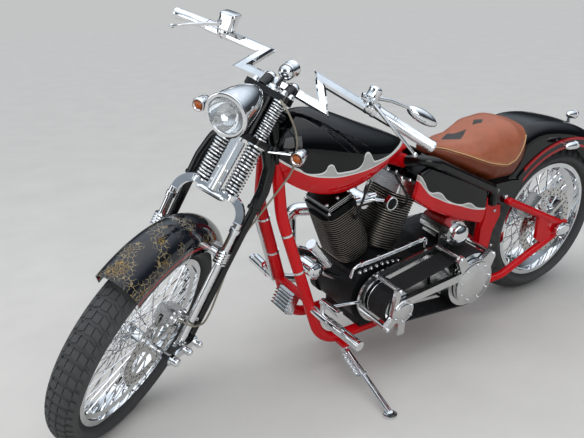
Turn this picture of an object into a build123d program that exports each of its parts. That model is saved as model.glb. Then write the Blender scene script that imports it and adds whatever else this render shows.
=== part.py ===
from build123d import *

import os
from math import atan2, cos, degrees, radians, sin, tan

# Chopper motorcycle with a springer fork, parked on its side stand.
# Bike frame: +X forward, +Y the rider's left, +Z up, millimetres, rear axle above X = 0.
# Every piece is modelled upright, then laid in the parked pose at the end.

# Wheels
WHEELBASE = 1764.0
FRONT_RADIUS = 350.0
FRONT_CROWN = 57.0
FRONT_LIP_RADIUS = 281.0
FRONT_LIP_HALF = 34.0
REAR_RADIUS = 333.0
REAR_CROWN = 103.0
REAR_LIP_RADIUS = 247.0
REAR_LIP_HALF = 76.0
FRONT_AXLE_RADIUS = 11.0
REAR_AXLE_RADIUS = 12.5
BEARING_CLEARANCE = 0.05
SEAT_GAP = 0.3

# Steering
RAKE = 32.8
AXLE_LEAD = 40.0
STEER_ANGLE = 37.0

# Parking
LEAN = 8.0

# Frame
NECK_RADIUS = 27.0
STEM_RADIUS = 13.0
TUBE_RADIUS = 19.0
RAIL_HEIGHT = 143.0
CRADLE_HALF = 97.0
CRADLE_REAR_HALF = 86.0
ARM_HALF = 150.0
ARM_TUBE_RADIUS = 15.0
UPRIGHT_CLEARANCE = 59.0
UPRIGHT_X = REAR_RADIUS + UPRIGHT_CLEARANCE
PIVOT_Z = 310.0

# Engine and drive
CRANK_X = 908.0
CRANK_Z = 280.0
CLUTCH_X = 574.0
CLUTCH_Z = 296.0
CYLINDER_ANGLE = 22.5
FIN_COUNT = 9
PLATE_IN = 128.0
PLATE_OUT = 138.0
BELT_IN = 150.0
BELT_OUT = 228.0
COVER_IN = 236.0
COVER_OUT = 254.0

# Fork
LEG_HALF = 112.0
LEG_RADIUS = 14.0
SPRING_HALF = 48.0
SPRING_U = 36.0
YOKE_LOW = 664.0
YOKE_HIGH = 684.0
SPRING_BASE = 502.0
SPRING_TOP = 792.0
CLAMP_LOW = 806.0
CLAMP_HIGH = 826.0
BAR_RADIUS = 16.0
NECK_LOW = YOKE_HIGH + 0.5
NECK_HIGH = CLAMP_LOW - 0.5


# The fork's own frame: local X is forward and square to the steering axis, local Z runs up
# the axis, and the origin is level with the front axle.
axis_up = Vector(-sin(radians(RAKE)), 0, cos(radians(RAKE)))
axis_ahead = Vector(cos(radians(RAKE)), 0, sin(radians(RAKE)))
front_axle_centre = Vector(WHEELBASE, 0, FRONT_RADIUS)
fork_origin = front_axle_centre - axis_ahead * AXLE_LEAD
FORK = Plane(origin=fork_origin, x_dir=axis_ahead, z_dir=axis_up).location
TURNED = FORK * Rot(0, 0, STEER_ANGLE)


def touch(centre, axle, radius, crown):
    """Lowest point of a tyre whose crown is an arc, for a wheel with this centre and axle."""
    down = Vector(0, 0, -1)
    across = (down - axle * down.dot(axle)).normalized()
    return centre + across * (radius - crown) + down * crown


def wheel_touch(attitude, place, radius, crown):
    """Lowest point of a wheel that stands at place in the bike frame, once it is tilted."""
    seat = attitude * place
    axle = (seat * Pos(0, 1, 0)).position - seat.position
    return touch(seat.position, axle, radius, crown)


REAR_PLACE = Pos(0, 0, REAR_RADIUS)
FRONT_PLACE = TURNED * Pos(AXLE_LEAD, 0, 0)

# The turned fork drops or lifts the nose a little: the pitch brings both tyres to the floor.
pitch = 0.0
for _ in range(8):
    attitude = Rot(0, pitch, 0) * Rot(-LEAN, 0, 0)
    rear_point = wheel_touch(attitude, REAR_PLACE, REAR_RADIUS, REAR_CROWN)
    front_point = wheel_touch(attitude, FRONT_PLACE, FRONT_RADIUS, FRONT_CROWN)
    pitch += degrees(atan2(front_point.Z - rear_point.Z, WHEELBASE))
PARKED = Pos(-rear_point.X, -rear_point.Y, -rear_point.Z) * attitude


def tube(points, bends, radius):
    """Round tube along straight runs joined by arcs, one bend radius for each corner."""
    with BuildPart() as run:
        with BuildLine() as route:
            if bends:
                FilletPolyline(*points, radius=bends)
            else:
                Polyline(*points)
        with BuildSketch(Plane(origin=route.line @ 0, z_dir=route.line % 0)):
            Circle(radius)
        sweep()
    return run.part


def rod(start, end, radius):
    """Straight round bar between two points."""
    with BuildPart() as bar:
        way = Vector(*end) - Vector(*start)
        with BuildSketch(Plane(origin=start, z_dir=way)):
            Circle(radius)
        extrude(amount=way.length)
    return bar.part


def side(points):
    """The same points on the machine's right side."""
    return [(x, -y, z) for x, y, z in points]


# Tyres, rims, hubs and spokes, each about its own centre with the axle along Y
def tyre(radius, crown, lip_radius, lip_half):
    """Solid tyre: a round crown, bulging side walls and a bead inside the rim's lips."""
    shoulder = radians(58)
    edge = (crown * sin(shoulder), radius - crown + crown * cos(shoulder))
    bead = (lip_half - 5, lip_radius + 9)
    bulge = (crown, (edge[1] + bead[1]) / 2 - 3)
    seat = lip_radius - 12
    with BuildPart() as body:
        with BuildSketch(Plane.YZ):
            with BuildLine():
                ThreePointArc((-edge[0], edge[1]), (0, radius), edge)
                ThreePointArc(edge, bulge, bead)
                Polyline(bead, (bead[0], seat), (-bead[0], seat), (-bead[0], bead[1]))
                ThreePointArc((-bead[0], bead[1]), (-bulge[0], bulge[1]), (-edge[0], edge[1]))
            make_face()
        revolve(axis=Axis.Y)
    return body.part


def rim(lip_radius, lip_half, depth):
    """Rim with turned lips, bead seats and a drop centre."""
    wall = 4.5
    seat = lip_radius - 12 - SEAT_GAP
    drop = lip_radius - depth
    half = [
        (lip_half, lip_radius),
        (lip_half - wall, lip_radius),
        (lip_half - wall, seat),
        (lip_half * 0.55, seat),
        (lip_half * 0.4, drop),
    ]
    inner = [
        (lip_half * 0.4, drop - wall),
        (lip_half * 0.62, seat - wall),
        (lip_half, seat - wall),
    ]
    outline = half + [(-y, r) for y, r in reversed(half)]
    outline += [(-y, r) for y, r in reversed(inner)] + inner
    with BuildPart() as body:
        with BuildSketch(Plane.YZ):
            with BuildLine():
                Polyline(*outline, close=True)
            make_face()
        revolve(axis=Axis.Y)
    return body.part


def laced_hub(hub_radius, neck, flange_radius, flange_half, half, bore, reach, count, spoke_radius):
    """Hub with two flanges, a neck outside each and laced spokes that end just inside the rim."""
    with BuildPart() as body:
        with BuildSketch(Plane.YZ):
            with BuildLine():
                Polyline(
                    (-half, bore), (-half, neck), (-flange_half - 5, neck),
                    (-flange_half - 5, flange_radius), (-flange_half, flange_radius),
                    (-flange_half + 4, hub_radius), (flange_half - 4, hub_radius),
                    (flange_half, flange_radius), (flange_half + 5, flange_radius),
                    (flange_half + 5, neck), (half, neck), (half, bore),
                    close=True,
                )
            make_face()
        revolve(axis=Axis.Y)
        turn = 360 / count
        for sign in (1, -1):
            for index in range(count):
                lead = 1 if index % 2 else -1
                base = radians(index * turn + (turn / 2 if sign < 0 else 0))
                foot = base + lead * radians(55)
                start_y = sign * (flange_half + (4.5 if lead > 0 else 0.5))
                start_r = flange_radius - 6
                end_y = sign * (flange_half * 0.18 + (3 if lead > 0 else 0))
                start = (start_r * cos(foot), start_y, start_r * sin(foot))
                end = (reach * cos(base), end_y, reach * sin(base))
                add(rod(start, end, spoke_radius))
    return body.part


def disc(radius, inner, y_in, y_out, holes):
    """Brake rotor with a ring of holes and a carrier that reaches in to the hub."""
    with BuildPart() as body:
        with BuildSketch(Plane.XZ.offset(-y_out)):
            Circle(radius)
            Circle(radius - 34, mode=Mode.SUBTRACT)
            Circle(inner + 14)
            Circle(inner, mode=Mode.SUBTRACT)
            with PolarLocations((radius - 34 + inner + 14) / 2, 5):
                Rectangle(radius - 34 - inner - 4, 16)
            with PolarLocations(radius - 17, holes):
                Circle(5, mode=Mode.SUBTRACT)
        extrude(amount=y_out - y_in)
    return body.part


with BuildPart() as front_tyre:
    add(tyre(FRONT_RADIUS, FRONT_CROWN, FRONT_LIP_RADIUS, FRONT_LIP_HALF))

with BuildPart() as front_rim:
    add(rim(FRONT_LIP_RADIUS, FRONT_LIP_HALF, 24))

FRONT_HUB_NECK = 18.0
REAR_HUB_NECK = 22.5
with BuildPart() as front_spokes:
    add(laced_hub(24, FRONT_HUB_NECK, 38, 30, 52, FRONT_AXLE_RADIUS + BEARING_CLEARANCE,
                  FRONT_LIP_RADIUS - 24 - 4.5 - SEAT_GAP - 0.7, 20, 1.8))

FRONT_DISC_IN = 56.0
FRONT_DISC_OUT = 60.5
FRONT_DISC_RADIUS = 128.0
with BuildPart() as front_rotor:
    add(disc(FRONT_DISC_RADIUS, 13, FRONT_DISC_IN, FRONT_DISC_OUT, 10))
    with BuildSketch(Plane.XZ.offset(-FRONT_DISC_IN)):
        Circle(26)
        Circle(13, mode=Mode.SUBTRACT)
    extrude(amount=4)

with BuildPart() as rear_tyre:
    add(tyre(REAR_RADIUS, REAR_CROWN, REAR_LIP_RADIUS, REAR_LIP_HALF))

with BuildPart() as rear_rim:
    add(rim(REAR_LIP_RADIUS, REAR_LIP_HALF, 34))

REAR_DISC_IN = 84.0
REAR_DISC_OUT = 90.0
with BuildPart() as rear_spokes:
    add(laced_hub(30, REAR_HUB_NECK, 46, 44, 129, REAR_AXLE_RADIUS + BEARING_CLEARANCE,
                  REAR_LIP_RADIUS - 34 - 4.5 - SEAT_GAP - 0.7, 20, 2.2))

with BuildPart() as rear_rotor:
    add(disc(146, REAR_HUB_NECK, REAR_DISC_IN, REAR_DISC_OUT, 12))

PULLEY_IN = 108.0
PULLEY_OUT = 128.0
REAR_PULLEY_RADIUS = 98.0
with BuildPart() as rear_pulley:
    with BuildSketch(Plane.XZ.offset(PULLEY_IN)):
        Circle(REAR_PULLEY_RADIUS)
        Circle(REAR_HUB_NECK, mode=Mode.SUBTRACT)
        with PolarLocations(60, 5):
            Circle(17, mode=Mode.SUBTRACT)
    extrude(amount=PULLEY_OUT - PULLEY_IN)

# Frame: neck and backbone, two cradle tubes, cross pieces, seat rails
neck_low = (FORK * Pos(0, 0, NECK_LOW)).position
neck_high = (FORK * Pos(0, 0, NECK_HIGH)).position
neck_mid = (FORK * Pos(0, 0, (NECK_LOW + NECK_HIGH) / 2)).position
BACKBONE_END = (742.0, 0.0, 706.0)
BACKBONE_RADIUS = 25.0
TUNNEL_HALF = 31.0
backbone_run = Vector(*BACKBONE_END) - neck_mid
with BuildPart() as frame_backbone:
    add(rod(neck_mid, BACKBONE_END, BACKBONE_RADIUS))
    for share in (0.22, 0.72):
        pad = neck_mid + backbone_run * share
        add(rod((pad.X, -TUNNEL_HALF, pad.Z), (pad.X, TUNNEL_HALF, pad.Z), 11))
    add(rod(neck_low, neck_high, NECK_RADIUS))
    add(rod(neck_low, neck_high, STEM_RADIUS + BEARING_CLEARANCE), mode=Mode.SUBTRACT)

cradle_points = [
    (1290.0, 21.0, 932.0),
    (1282.0, 66.0, 640.0),
    (1128.0, CRADLE_HALF, RAIL_HEIGHT),
    (UPRIGHT_X + 33, CRADLE_REAR_HALF, RAIL_HEIGHT),
    (UPRIGHT_X, CRADLE_REAR_HALF, 330.0),
    (UPRIGHT_X - 4, CRADLE_REAR_HALF, 528.0),
]
cradle_bends = [260.0, 105.0, 85.0, 200.0]
gusset_points = [
    (-74.0, 486.0), (-80.0, 443.0), (-50.0, 377.0), (-40.0, 300.0), (14.0, 300.0), (16.0, 406.0),
    (4.0, 445.0), (2.0, 500.0)
]


def gusset():
    """Side plate at the rear upright, where the stay meets the frame."""
    with BuildPart() as plate:
        with BuildSketch(Plane.XZ.offset(-CRADLE_REAR_HALF - 11)):
            with BuildLine():
                Polyline(*[(UPRIGHT_X + x, z) for x, z in gusset_points], close=True)
            make_face()
        extrude(amount=-10)
    return plate.part


STAND_PIVOT = (1046.0, 130.0, 110.0)
STAND_EYE_HALF = 12.0
STAND_PIN_RADIUS = 7.0
with BuildPart() as cradle_left:
    add(tube(cradle_points, cradle_bends, TUBE_RADIUS))
    add(gusset())
    add(frame_backbone.part, mode=Mode.SUBTRACT)
    with BuildSketch(Plane.XY.offset(STAND_PIVOT[2] + STAND_EYE_HALF + SEAT_GAP)):
        with Locations((STAND_PIVOT[0], CRADLE_HALF + 24)):
            Rectangle(40, 50)
    extrude(amount=14)
    add(rod((STAND_PIVOT[0], STAND_PIVOT[1], STAND_PIVOT[2] - STAND_EYE_HALF - 4),
            (STAND_PIVOT[0], STAND_PIVOT[1], STAND_PIVOT[2] + STAND_EYE_HALF + 6), STAND_PIN_RADIUS))

with BuildPart() as cradle_right:
    add(tube(side(cradle_points), cradle_bends, TUBE_RADIUS))
    add(gusset().mirror(Plane.XZ))
    add(frame_backbone.part, mode=Mode.SUBTRACT)

cross_places = [(1184.0, 322.0, 86.0), (700.0, RAIL_HEIGHT, 96.0)]
with BuildPart() as frame_crossmembers:
    for x, z, half in cross_places:
        add(rod((x, -half, z), (x, half, z), 14))
    with BuildSketch(Plane.XZ):
        with Locations((UPRIGHT_X + 6, PIVOT_Z)):
            RectangleRounded(24, 80, 8)
    extrude(amount=CRADLE_REAR_HALF, both=True)
    add(cradle_left.part, mode=Mode.SUBTRACT)
    add(cradle_right.part, mode=Mode.SUBTRACT)

rail_points = [
    (748.0, 26.0, 715.0), (716.0, 110.0, 738.0), (UPRIGHT_X - 8, 119.0, 568.0),
    (UPRIGHT_X - 22, 108.0, 505.0)
]
rail_bends = [50.0, 40.0]
with BuildPart() as seat_rails:
    add(tube(rail_points, rail_bends, TUBE_RADIUS))
    add(tube(side(rail_points), rail_bends, TUBE_RADIUS))
    add(rod((560, -116, 657), (560, 116, 657), 12))
    add(frame_backbone.part, mode=Mode.SUBTRACT)
    add(cradle_left.part, mode=Mode.SUBTRACT)
    add(cradle_right.part, mode=Mode.SUBTRACT)

# Rear stays: a top and a lower tube each side that meet in the axle plate
STRUT_IN = 119.3
STRUT_OUT = 125.3
ARM_TOP = (UPRIGHT_X - 80, STRUT_OUT + ARM_TUBE_RADIUS, 511.0)
ARM_LOW = (UPRIGHT_X - 92, ARM_HALF, 196.0)
ARM_FOOT = (UPRIGHT_X + 20, CRADLE_REAR_HALF + 26, 160.0)
ARM_REAR = (-34.0, ARM_HALF, REAR_RADIUS + 4)
with BuildPart() as swingarm_left:
    add(rod(ARM_TOP, ARM_REAR, ARM_TUBE_RADIUS))
    add(rod((24.0, ARM_HALF, REAR_RADIUS - 33), ARM_LOW, ARM_TUBE_RADIUS))
    add(rod(ARM_LOW, ARM_FOOT, ARM_TUBE_RADIUS))
    with Locations(ARM_TOP, ARM_LOW):
        Sphere(ARM_TUBE_RADIUS)
    add(rod((ARM_TOP[0], STRUT_OUT, ARM_TOP[2]), ARM_TOP, 13))
    with BuildSketch(Plane(origin=(0, ARM_HALF, REAR_RADIUS), x_dir=(1, 0, 0), z_dir=(0, -1, 0))):
        with BuildLine():
            Polyline((138, 82), (130, -20), (76, -62), (24, -46), (-52, -26), (-52, 22), (10, 26), close=True)
        make_face()
    extrude(amount=7, both=True)
    with Locations(Location((0, ARM_HALF, REAR_RADIUS), (90, 0, 0))):
        Cylinder(REAR_AXLE_RADIUS + BEARING_CLEARANCE, 60, mode=Mode.SUBTRACT)
    add(cradle_left.part, mode=Mode.SUBTRACT)

with BuildPart() as swingarm_right:
    add(swingarm_left.part.mirror(Plane.XZ))

with BuildPart() as rear_axle:
    add(rod((0, -ARM_HALF - 22, REAR_RADIUS), (0, ARM_HALF + 22, REAR_RADIUS), REAR_AXLE_RADIUS))
    for sign in (1, -1):
        with BuildSketch(Plane.XZ.offset(-sign * (ARM_HALF + 16 + SEAT_GAP))):
            with Locations((0, REAR_RADIUS)):
                SlotCenterToCenter(34, 44)
        extrude(amount=-sign * 12)

# Tank: stations along the machine
#   x, bottom, belly height, half width, top
tank_stations = [
    (1292.0, 776.0, 826.0, 62.0, 902.0),
    (1190.0, 712.0, 806.0, 112.0, 958.0),
    (1050.0, 697.0, 786.0, 131.0, 920.0),
    (900.0, 738.0, 786.0, 106.0, 852.0),
    (762.0, 762.0, 772.0, 36.0, 790.0),
]
TANK_CLEARANCE = 4.0
with BuildPart() as fuel_tank:
    for x, low, belly, half, high in tank_stations:
        with BuildSketch(Plane(origin=(x, 0, 0), x_dir=(0, 1, 0), z_dir=(1, 0, 0))):
            with BuildLine():
                Line((-half * 0.76, low), (half * 0.76, low))
                ThreePointArc((half * 0.76, low), (half * 0.94, low + (belly - low) * 0.4), (half, belly))
                ThreePointArc((half, belly), (half * 0.74, belly + (high - belly) * 0.7), (0, high))
                ThreePointArc((0, high), (-half * 0.74, belly + (high - belly) * 0.7), (-half, belly))
                ThreePointArc((-half, belly), (-half * 0.94, low + (belly - low) * 0.4), (-half * 0.76, low))
            make_face()
    loft()
    with BuildSketch(Plane.XZ):
        with BuildLine():
            Polyline((1400, 600), (1400, 1000), (neck_mid.X, neck_mid.Z + BACKBONE_RADIUS + 8),
                     (742, 706 + BACKBONE_RADIUS + 6), (600, 700), (600, 600), close=True)
        make_face()
    extrude(amount=TUNNEL_HALF, both=True, mode=Mode.SUBTRACT)
    add(seat_rails.part, mode=Mode.SUBTRACT)
    for points in (cradle_points, side(cradle_points)):
        add(tube(points, cradle_bends, TUBE_RADIUS + TANK_CLEARANCE), mode=Mode.SUBTRACT)

OIL_TANK_HALF = 112.0
with BuildPart() as oil_tank:
    with BuildSketch(Plane.XZ):
        with BuildLine():
            Polyline((712, 712), (752, 694), (770, 604), (690, 546), (556, 480), (UPRIGHT_X + 55, 442),
                     (UPRIGHT_X + 22, 430), (UPRIGHT_X + 10, 474), (UPRIGHT_X + 8, 570), close=True)
        make_face()
        fillet(vertices(), 12)
    extrude(amount=OIL_TANK_HALF, both=True)
    fillet(edges().filter_by(lambda e: abs(abs(e.center().Y) - OIL_TANK_HALF) < 1), 9)
    with BuildSketch(Plane.XZ):
        with Locations((744, 610)):
            Rectangle(112, 260)
    extrude(amount=92, both=True, mode=Mode.SUBTRACT)
    add(frame_backbone.part, mode=Mode.SUBTRACT)
    add(seat_rails.part, mode=Mode.SUBTRACT)
    add(cradle_left.part, mode=Mode.SUBTRACT)
    add(cradle_right.part, mode=Mode.SUBTRACT)

# Seat: stations along the machine
#   x, bottom, shoulder height, half width, top
seat_stations = [
    (666.0, 733.0, 746.0, 30.0, 764.0),
    (580.0, 688.0, 714.0, 92.0, 750.0),
    (480.0, 638.0, 690.0, 128.0, 754.0),
    (395.0, 598.0, 690.0, 141.0, 794.0),
    (300.0, 594.0, 700.0, 138.0, 804.0),
    (208.0, 640.0, 712.0, 78.0, 770.0),
]
with BuildPart() as seat:
    for x, low, belly, half, high in seat_stations:
        with BuildSketch(Plane(origin=(x, 0, 0), x_dir=(0, 1, 0), z_dir=(1, 0, 0))):
            with BuildLine():
                Line((-half * 0.8, low), (half * 0.8, low))
                ThreePointArc((half * 0.8, low), (half * 0.96, low + (belly - low) * 0.45), (half, belly))
                ThreePointArc((half, belly), (half * 0.78, belly + (high - belly) * 0.72), (0, high))
                ThreePointArc((0, high), (-half * 0.78, belly + (high - belly) * 0.72), (-half, belly))
                ThreePointArc((-half, belly), (-half * 0.96, low + (belly - low) * 0.45), (-half * 0.8, low))
            make_face()
    loft()
    add(tube(rail_points, rail_bends, TUBE_RADIUS + SEAT_GAP), mode=Mode.SUBTRACT)
    add(tube(side(rail_points), rail_bends, TUBE_RADIUS + SEAT_GAP), mode=Mode.SUBTRACT)

# Rear fender: stations about the rear axle, each an angle up from +X and a crown radius
FENDER_HALF = 119.0
FENDER_SHEET = 3.0
FENDER_LOW = REAR_RADIUS + 4
fender_stations = [
    (40.0, 132.0), (54.0, 149.0), (66.0, 154.0), (76.0, 127.0), (88.0, 98.0), (102.0, 79.0),
    (120.0, 71.0), (146.0, 69.0), (176.0, 69.0),
]


def fender_arc(half, crown):
    """One skin of the fender's section, from the right edge over the crown to the left edge."""
    corner = crown - 58
    shoulder = crown - 4
    return [
        ((-half, FENDER_LOW), (-half, corner)),
        ((-half, corner), (17 - half, crown - 20), (58 - half, shoulder)),
        ((58 - half, shoulder), (0, crown), (half - 58, shoulder)),
        ((half - 58, shoulder), (half - 17, crown - 20), (half, corner)),
        ((half, corner), (half, FENDER_LOW)),
    ]


with BuildPart() as rear_fender:
    for angle, lift in fender_stations:
        turn = radians(angle)
        crown = REAR_RADIUS + lift
        section = Plane(origin=(0, 0, REAR_RADIUS), x_dir=(0, 1, 0), z_dir=(sin(turn), 0, -cos(turn)))
        with BuildSketch(section):
            with BuildLine():
                for skin in (
                    fender_arc(FENDER_HALF, crown),
                    fender_arc(FENDER_HALF - FENDER_SHEET, crown - FENDER_SHEET),
                ):
                    for points in skin:
                        if len(points) == 2:
                            Line(*points)
                        else:
                            ThreePointArc(*points)
                for sign in (1, -1):
                    Line((sign * FENDER_HALF, FENDER_LOW), (sign * (FENDER_HALF - FENDER_SHEET), FENDER_LOW))
            make_face()
    loft()
    add(seat.part, mode=Mode.SUBTRACT)
    add(tube(rail_points, rail_bends, TUBE_RADIUS + SEAT_GAP), mode=Mode.SUBTRACT)
    add(tube(side(rail_points), rail_bends, TUBE_RADIUS + SEAT_GAP), mode=Mode.SUBTRACT)

# Struts: a band along each fender edge and a plate out to the seat rail
BAND_LOW = REAR_RADIUS - 1
BAND_HIGH = REAR_RADIUS + 38
with BuildPart() as fender_struts:
    with BuildSketch(Plane(origin=(0, STRUT_IN, REAR_RADIUS), x_dir=(1, 0, 0), z_dir=(0, -1, 0))):
        with BuildLine():
            CenterArc((0, 0), BAND_HIGH, 44, 84)
            CenterArc((0, 0), BAND_LOW, 44, 84)
            for angle in (radians(44), radians(128)):
                Line((BAND_LOW * cos(angle), BAND_LOW * sin(angle)),
                     (BAND_HIGH * cos(angle), BAND_HIGH * sin(angle)))
        make_face()
    extrude(amount=STRUT_IN - STRUT_OUT)
    with BuildSketch(Plane.XZ.offset(-STRUT_IN)):
        with BuildLine():
            Polyline((UPRIGHT_X - 8, 590), (300, 588), (226, 578), (246, 556), (286, 508),
                     (UPRIGHT_X - 66, 494), (UPRIGHT_X - 16, 520), close=True)
        make_face()
    extrude(amount=STRUT_IN - STRUT_OUT)
    mirror(about=Plane.XZ)
    add(tube(rail_points, rail_bends, TUBE_RADIUS), mode=Mode.SUBTRACT)
    add(tube(side(rail_points), rail_bends, TUBE_RADIUS), mode=Mode.SUBTRACT)
    add(seat.part, mode=Mode.SUBTRACT)

# Engine: crankcase, two finned cylinders at a narrow angle, rocker boxes
DECK = 140.0
HEAD_BASE = 300.0
HEAD_TOP = 352.0
CRANK_PLACE = Pos(CRANK_X, 0, CRANK_Z)
FRONT_CYLINDER_PLACE = CRANK_PLACE * Rot(0, CYLINDER_ANGLE, 0)
REAR_CYLINDER_PLACE = CRANK_PLACE * Rot(0, -CYLINDER_ANGLE, 0)
CASE_LEFT = 110.0
CASE_RIGHT = 92.0
with BuildPart() as crankcase:
    with BuildSketch(Plane.XZ.offset(-CASE_LEFT)):
        with Locations((CRANK_X, CRANK_Z)):
            Circle(112)
            with Locations(Rot(0, 0, -CYLINDER_ANGLE), Rot(0, 0, CYLINDER_ANGLE)):
                Rectangle(112, DECK, align=(Align.CENTER, Align.MIN))
            with Locations((-20, -94)):
                Rectangle(170, 56)
    extrude(amount=CASE_LEFT + CASE_RIGHT)
    with BuildSketch(Plane.XZ.offset(-PLATE_IN)):
        with Locations((CRANK_X, CRANK_Z)):
            Circle(62)
    extrude(amount=PLATE_IN - CASE_LEFT)
    with BuildSketch(Plane.XZ.offset(CASE_RIGHT)):
        with Locations((CRANK_X + 14, CRANK_Z + 18)):
            Circle(82)
        with Locations((CRANK_X + 70, CRANK_Z - 30)):
            Circle(46)
    extrude(amount=34)
    add(cradle_left.part, mode=Mode.SUBTRACT)
    add(cradle_right.part, mode=Mode.SUBTRACT)

FIN_PITCH = 17.0
FIN_THICKNESS = 6.0
with BuildPart() as cylinder_shape:
    with BuildSketch(Plane.XY.offset(DECK)):
        Circle(50)
    extrude(amount=HEAD_TOP - DECK)
    for index in range(FIN_COUNT + 3):
        height = DECK + 12 + index * FIN_PITCH
        reach = min(70.0, (height - 4) * tan(radians(CYLINDER_ANGLE)) - 3)
        with BuildSketch(Plane.XY.offset(height)):
            RectangleRounded(2 * reach, 146, min(34.0, reach - 4))
        extrude(amount=FIN_THICKNESS)

with BuildPart() as cylinders:
    add(cylinder_shape.part.moved(FRONT_CYLINDER_PLACE))
    add(cylinder_shape.part.moved(REAR_CYLINDER_PLACE))

with BuildPart() as rocker_shape:
    with BuildSketch(Plane.XY.offset(HEAD_TOP)):
        RectangleRounded(116, 152, 14)
    extrude(amount=26)
    with BuildSketch(Plane.XY.offset(HEAD_TOP + 26)):
        RectangleRounded(98, 138, 14)
    extrude(amount=26)

with BuildPart() as rocker_boxes:
    add(rocker_shape.part.moved(FRONT_CYLINDER_PLACE))
    add(rocker_shape.part.moved(REAR_CYLINDER_PLACE))

# Pushrod tubes stand on the right of each cylinder
with BuildPart() as pushrod_tubes:
    for sign in (1, -1):
        for spread in (-16, 16):
            foot = CRANK_PLACE * Pos(14 + sign * 34 + spread * 0.4, -88, 118)
            head = Pos(-sign * 30 + spread, -80, HEAD_TOP)
            head_place = CRANK_PLACE * Rot(0, sign * CYLINDER_ANGLE, 0) * head
            add(rod(foot.position, head_place.position, 8))
    add(cylinders.part, mode=Mode.SUBTRACT)
    add(rocker_boxes.part, mode=Mode.SUBTRACT)
    add(crankcase.part, mode=Mode.SUBTRACT)

INTAKE_Z = 590.0
with BuildPart() as intake:
    add(rod((CRANK_X - 80, 0, INTAKE_Z), (CRANK_X + 80, 0, INTAKE_Z), 20))
    add(rod((CRANK_X, 14, INTAKE_Z), (CRANK_X, -132, INTAKE_Z), 26))
    add(rod((CRANK_X, -132, INTAKE_Z), (CRANK_X, -176, INTAKE_Z), 80))
    fillet(edges().sort_by(Axis.Y)[0], 12)
    add(cylinders.part, mode=Mode.SUBTRACT)
    add(rocker_boxes.part, mode=Mode.SUBTRACT)

PIPE_RADIUS = 23.0
PIPE_BORE = 20.5
front_pipe = [(1052, -78, 560), (1108, -150, 540), (1066, -204, 350), (900, -206, 262), (-60, -206, 236)]
rear_pipe = [(764, -78, 560), (712, -150, 546), (640, -206, 420), (500, -206, 322), (-20, -206, 300)]
with BuildPart() as exhaust:
    add(tube(front_pipe, [50, 90, 110], PIPE_RADIUS))
    add(tube(rear_pipe, [50, 70, 110], PIPE_RADIUS))
    for end, before in ((front_pipe[-1], front_pipe[-2]), (rear_pipe[-1], rear_pipe[-2])):
        back = (Vector(*before) - Vector(*end)).normalized() * 90
        add(rod(end, Vector(*end) + back, PIPE_BORE), mode=Mode.SUBTRACT)
    add(cylinders.part, mode=Mode.SUBTRACT)

FINAL_PULLEY = (560.0, 300.0)
FINAL_PULLEY_RADIUS = 44.0
GEARBOX_RIGHT = 102.0
with BuildPart() as gearbox:
    with BuildSketch(Plane.XZ.offset(-PLATE_IN)):
        with BuildLine():
            Polyline((468, 214), (468, 380), (520, 414), (664, 400), (690, 350), (690, 214), close=True)
        make_face()
        fillet(vertices(), 22)
    extrude(amount=PLATE_IN + GEARBOX_RIGHT)
    with BuildSketch(Plane.XZ.offset(GEARBOX_RIGHT)):
        with Locations(FINAL_PULLEY):
            Circle(FINAL_PULLEY_RADIUS)
    extrude(amount=PULLEY_OUT - GEARBOX_RIGHT)

STARTER_PLACE = (608.0, 462.0)
STARTER_RADIUS = 37.0
STARTER_HOUSING = 46.0
starter_x, starter_z = STARTER_PLACE
with BuildPart() as starter:
    add(rod((starter_x, 20, starter_z), (starter_x, 196, starter_z), STARTER_RADIUS))
    fillet(edges().sort_by(Axis.Y)[-1], 10)
    add(rod((starter_x + 8, 30, starter_z - 30), (starter_x + 8, 100, starter_z - 30), 22))
    add(gearbox.part, mode=Mode.SUBTRACT)

# Filter, breather and horn on the engine, and the wiring conduit on the right downtube
FILTER = (1135.0, 402.0)
FILTER_RADIUS = 27.0
CONDUIT_RADIUS = 7.0
HORN = (872.0, 612.0)
downtube_top = Vector(*cradle_points[1])
downtube_run = Vector(*cradle_points[2]) - downtube_top
downtube_ahead = Vector(-downtube_run.Z, 0, downtube_run.X).normalized()


def conduit_point(share, reach):
    """Point ahead of the right downtube, at a share of its run and a reach from its centre."""
    centre = downtube_top + downtube_run * share + downtube_ahead * reach
    return (centre.X, -centre.Y, centre.Z)


with BuildPart() as engine_fittings:
    add(rod((FILTER[0], -12, FILTER[1]), (FILTER[0], 62, FILTER[1]), FILTER_RADIUS))
    fillet(edges().sort_by(Axis.Y)[-1], 8)
    add(rod((FILTER[0], 20, FILTER[1]), (CRANK_X + 98, 20, CRANK_Z + 42), 11))
    add(rod((FILTER[0] - 59, 48, FILTER[1] + 8), (FILTER[0] + 11, 48, FILTER[1] + 96), 16))
    add(rod((FILTER[0] + 10, 48, FILTER[1] + 95), (FILTER[0] + 18, 48, FILTER[1] + 105), 18.5))
    add(rod((FILTER[0] - 43, 20, FILTER[1] - 26), (FILTER[0] - 55, 48, FILTER[1] + 12), 9))
    add(rod((HORN[0], 10, INTAKE_Z), (HORN[0], 92, HORN[1]), 8))
    add(rod((HORN[0], 90, HORN[1]), (HORN[0], 106, HORN[1]), 21))
    reach = TUBE_RADIUS + CONDUIT_RADIUS + 1
    add(rod(conduit_point(0.02, reach), conduit_point(0.62, reach), CONDUIT_RADIUS))
    for share in (0.1, 0.4):
        add(rod(conduit_point(share, TUBE_RADIUS - 4), conduit_point(share, reach), 5))
    for piece in (crankcase, intake, cylinders, cradle_right):
        add(piece.part, mode=Mode.SUBTRACT)

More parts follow.
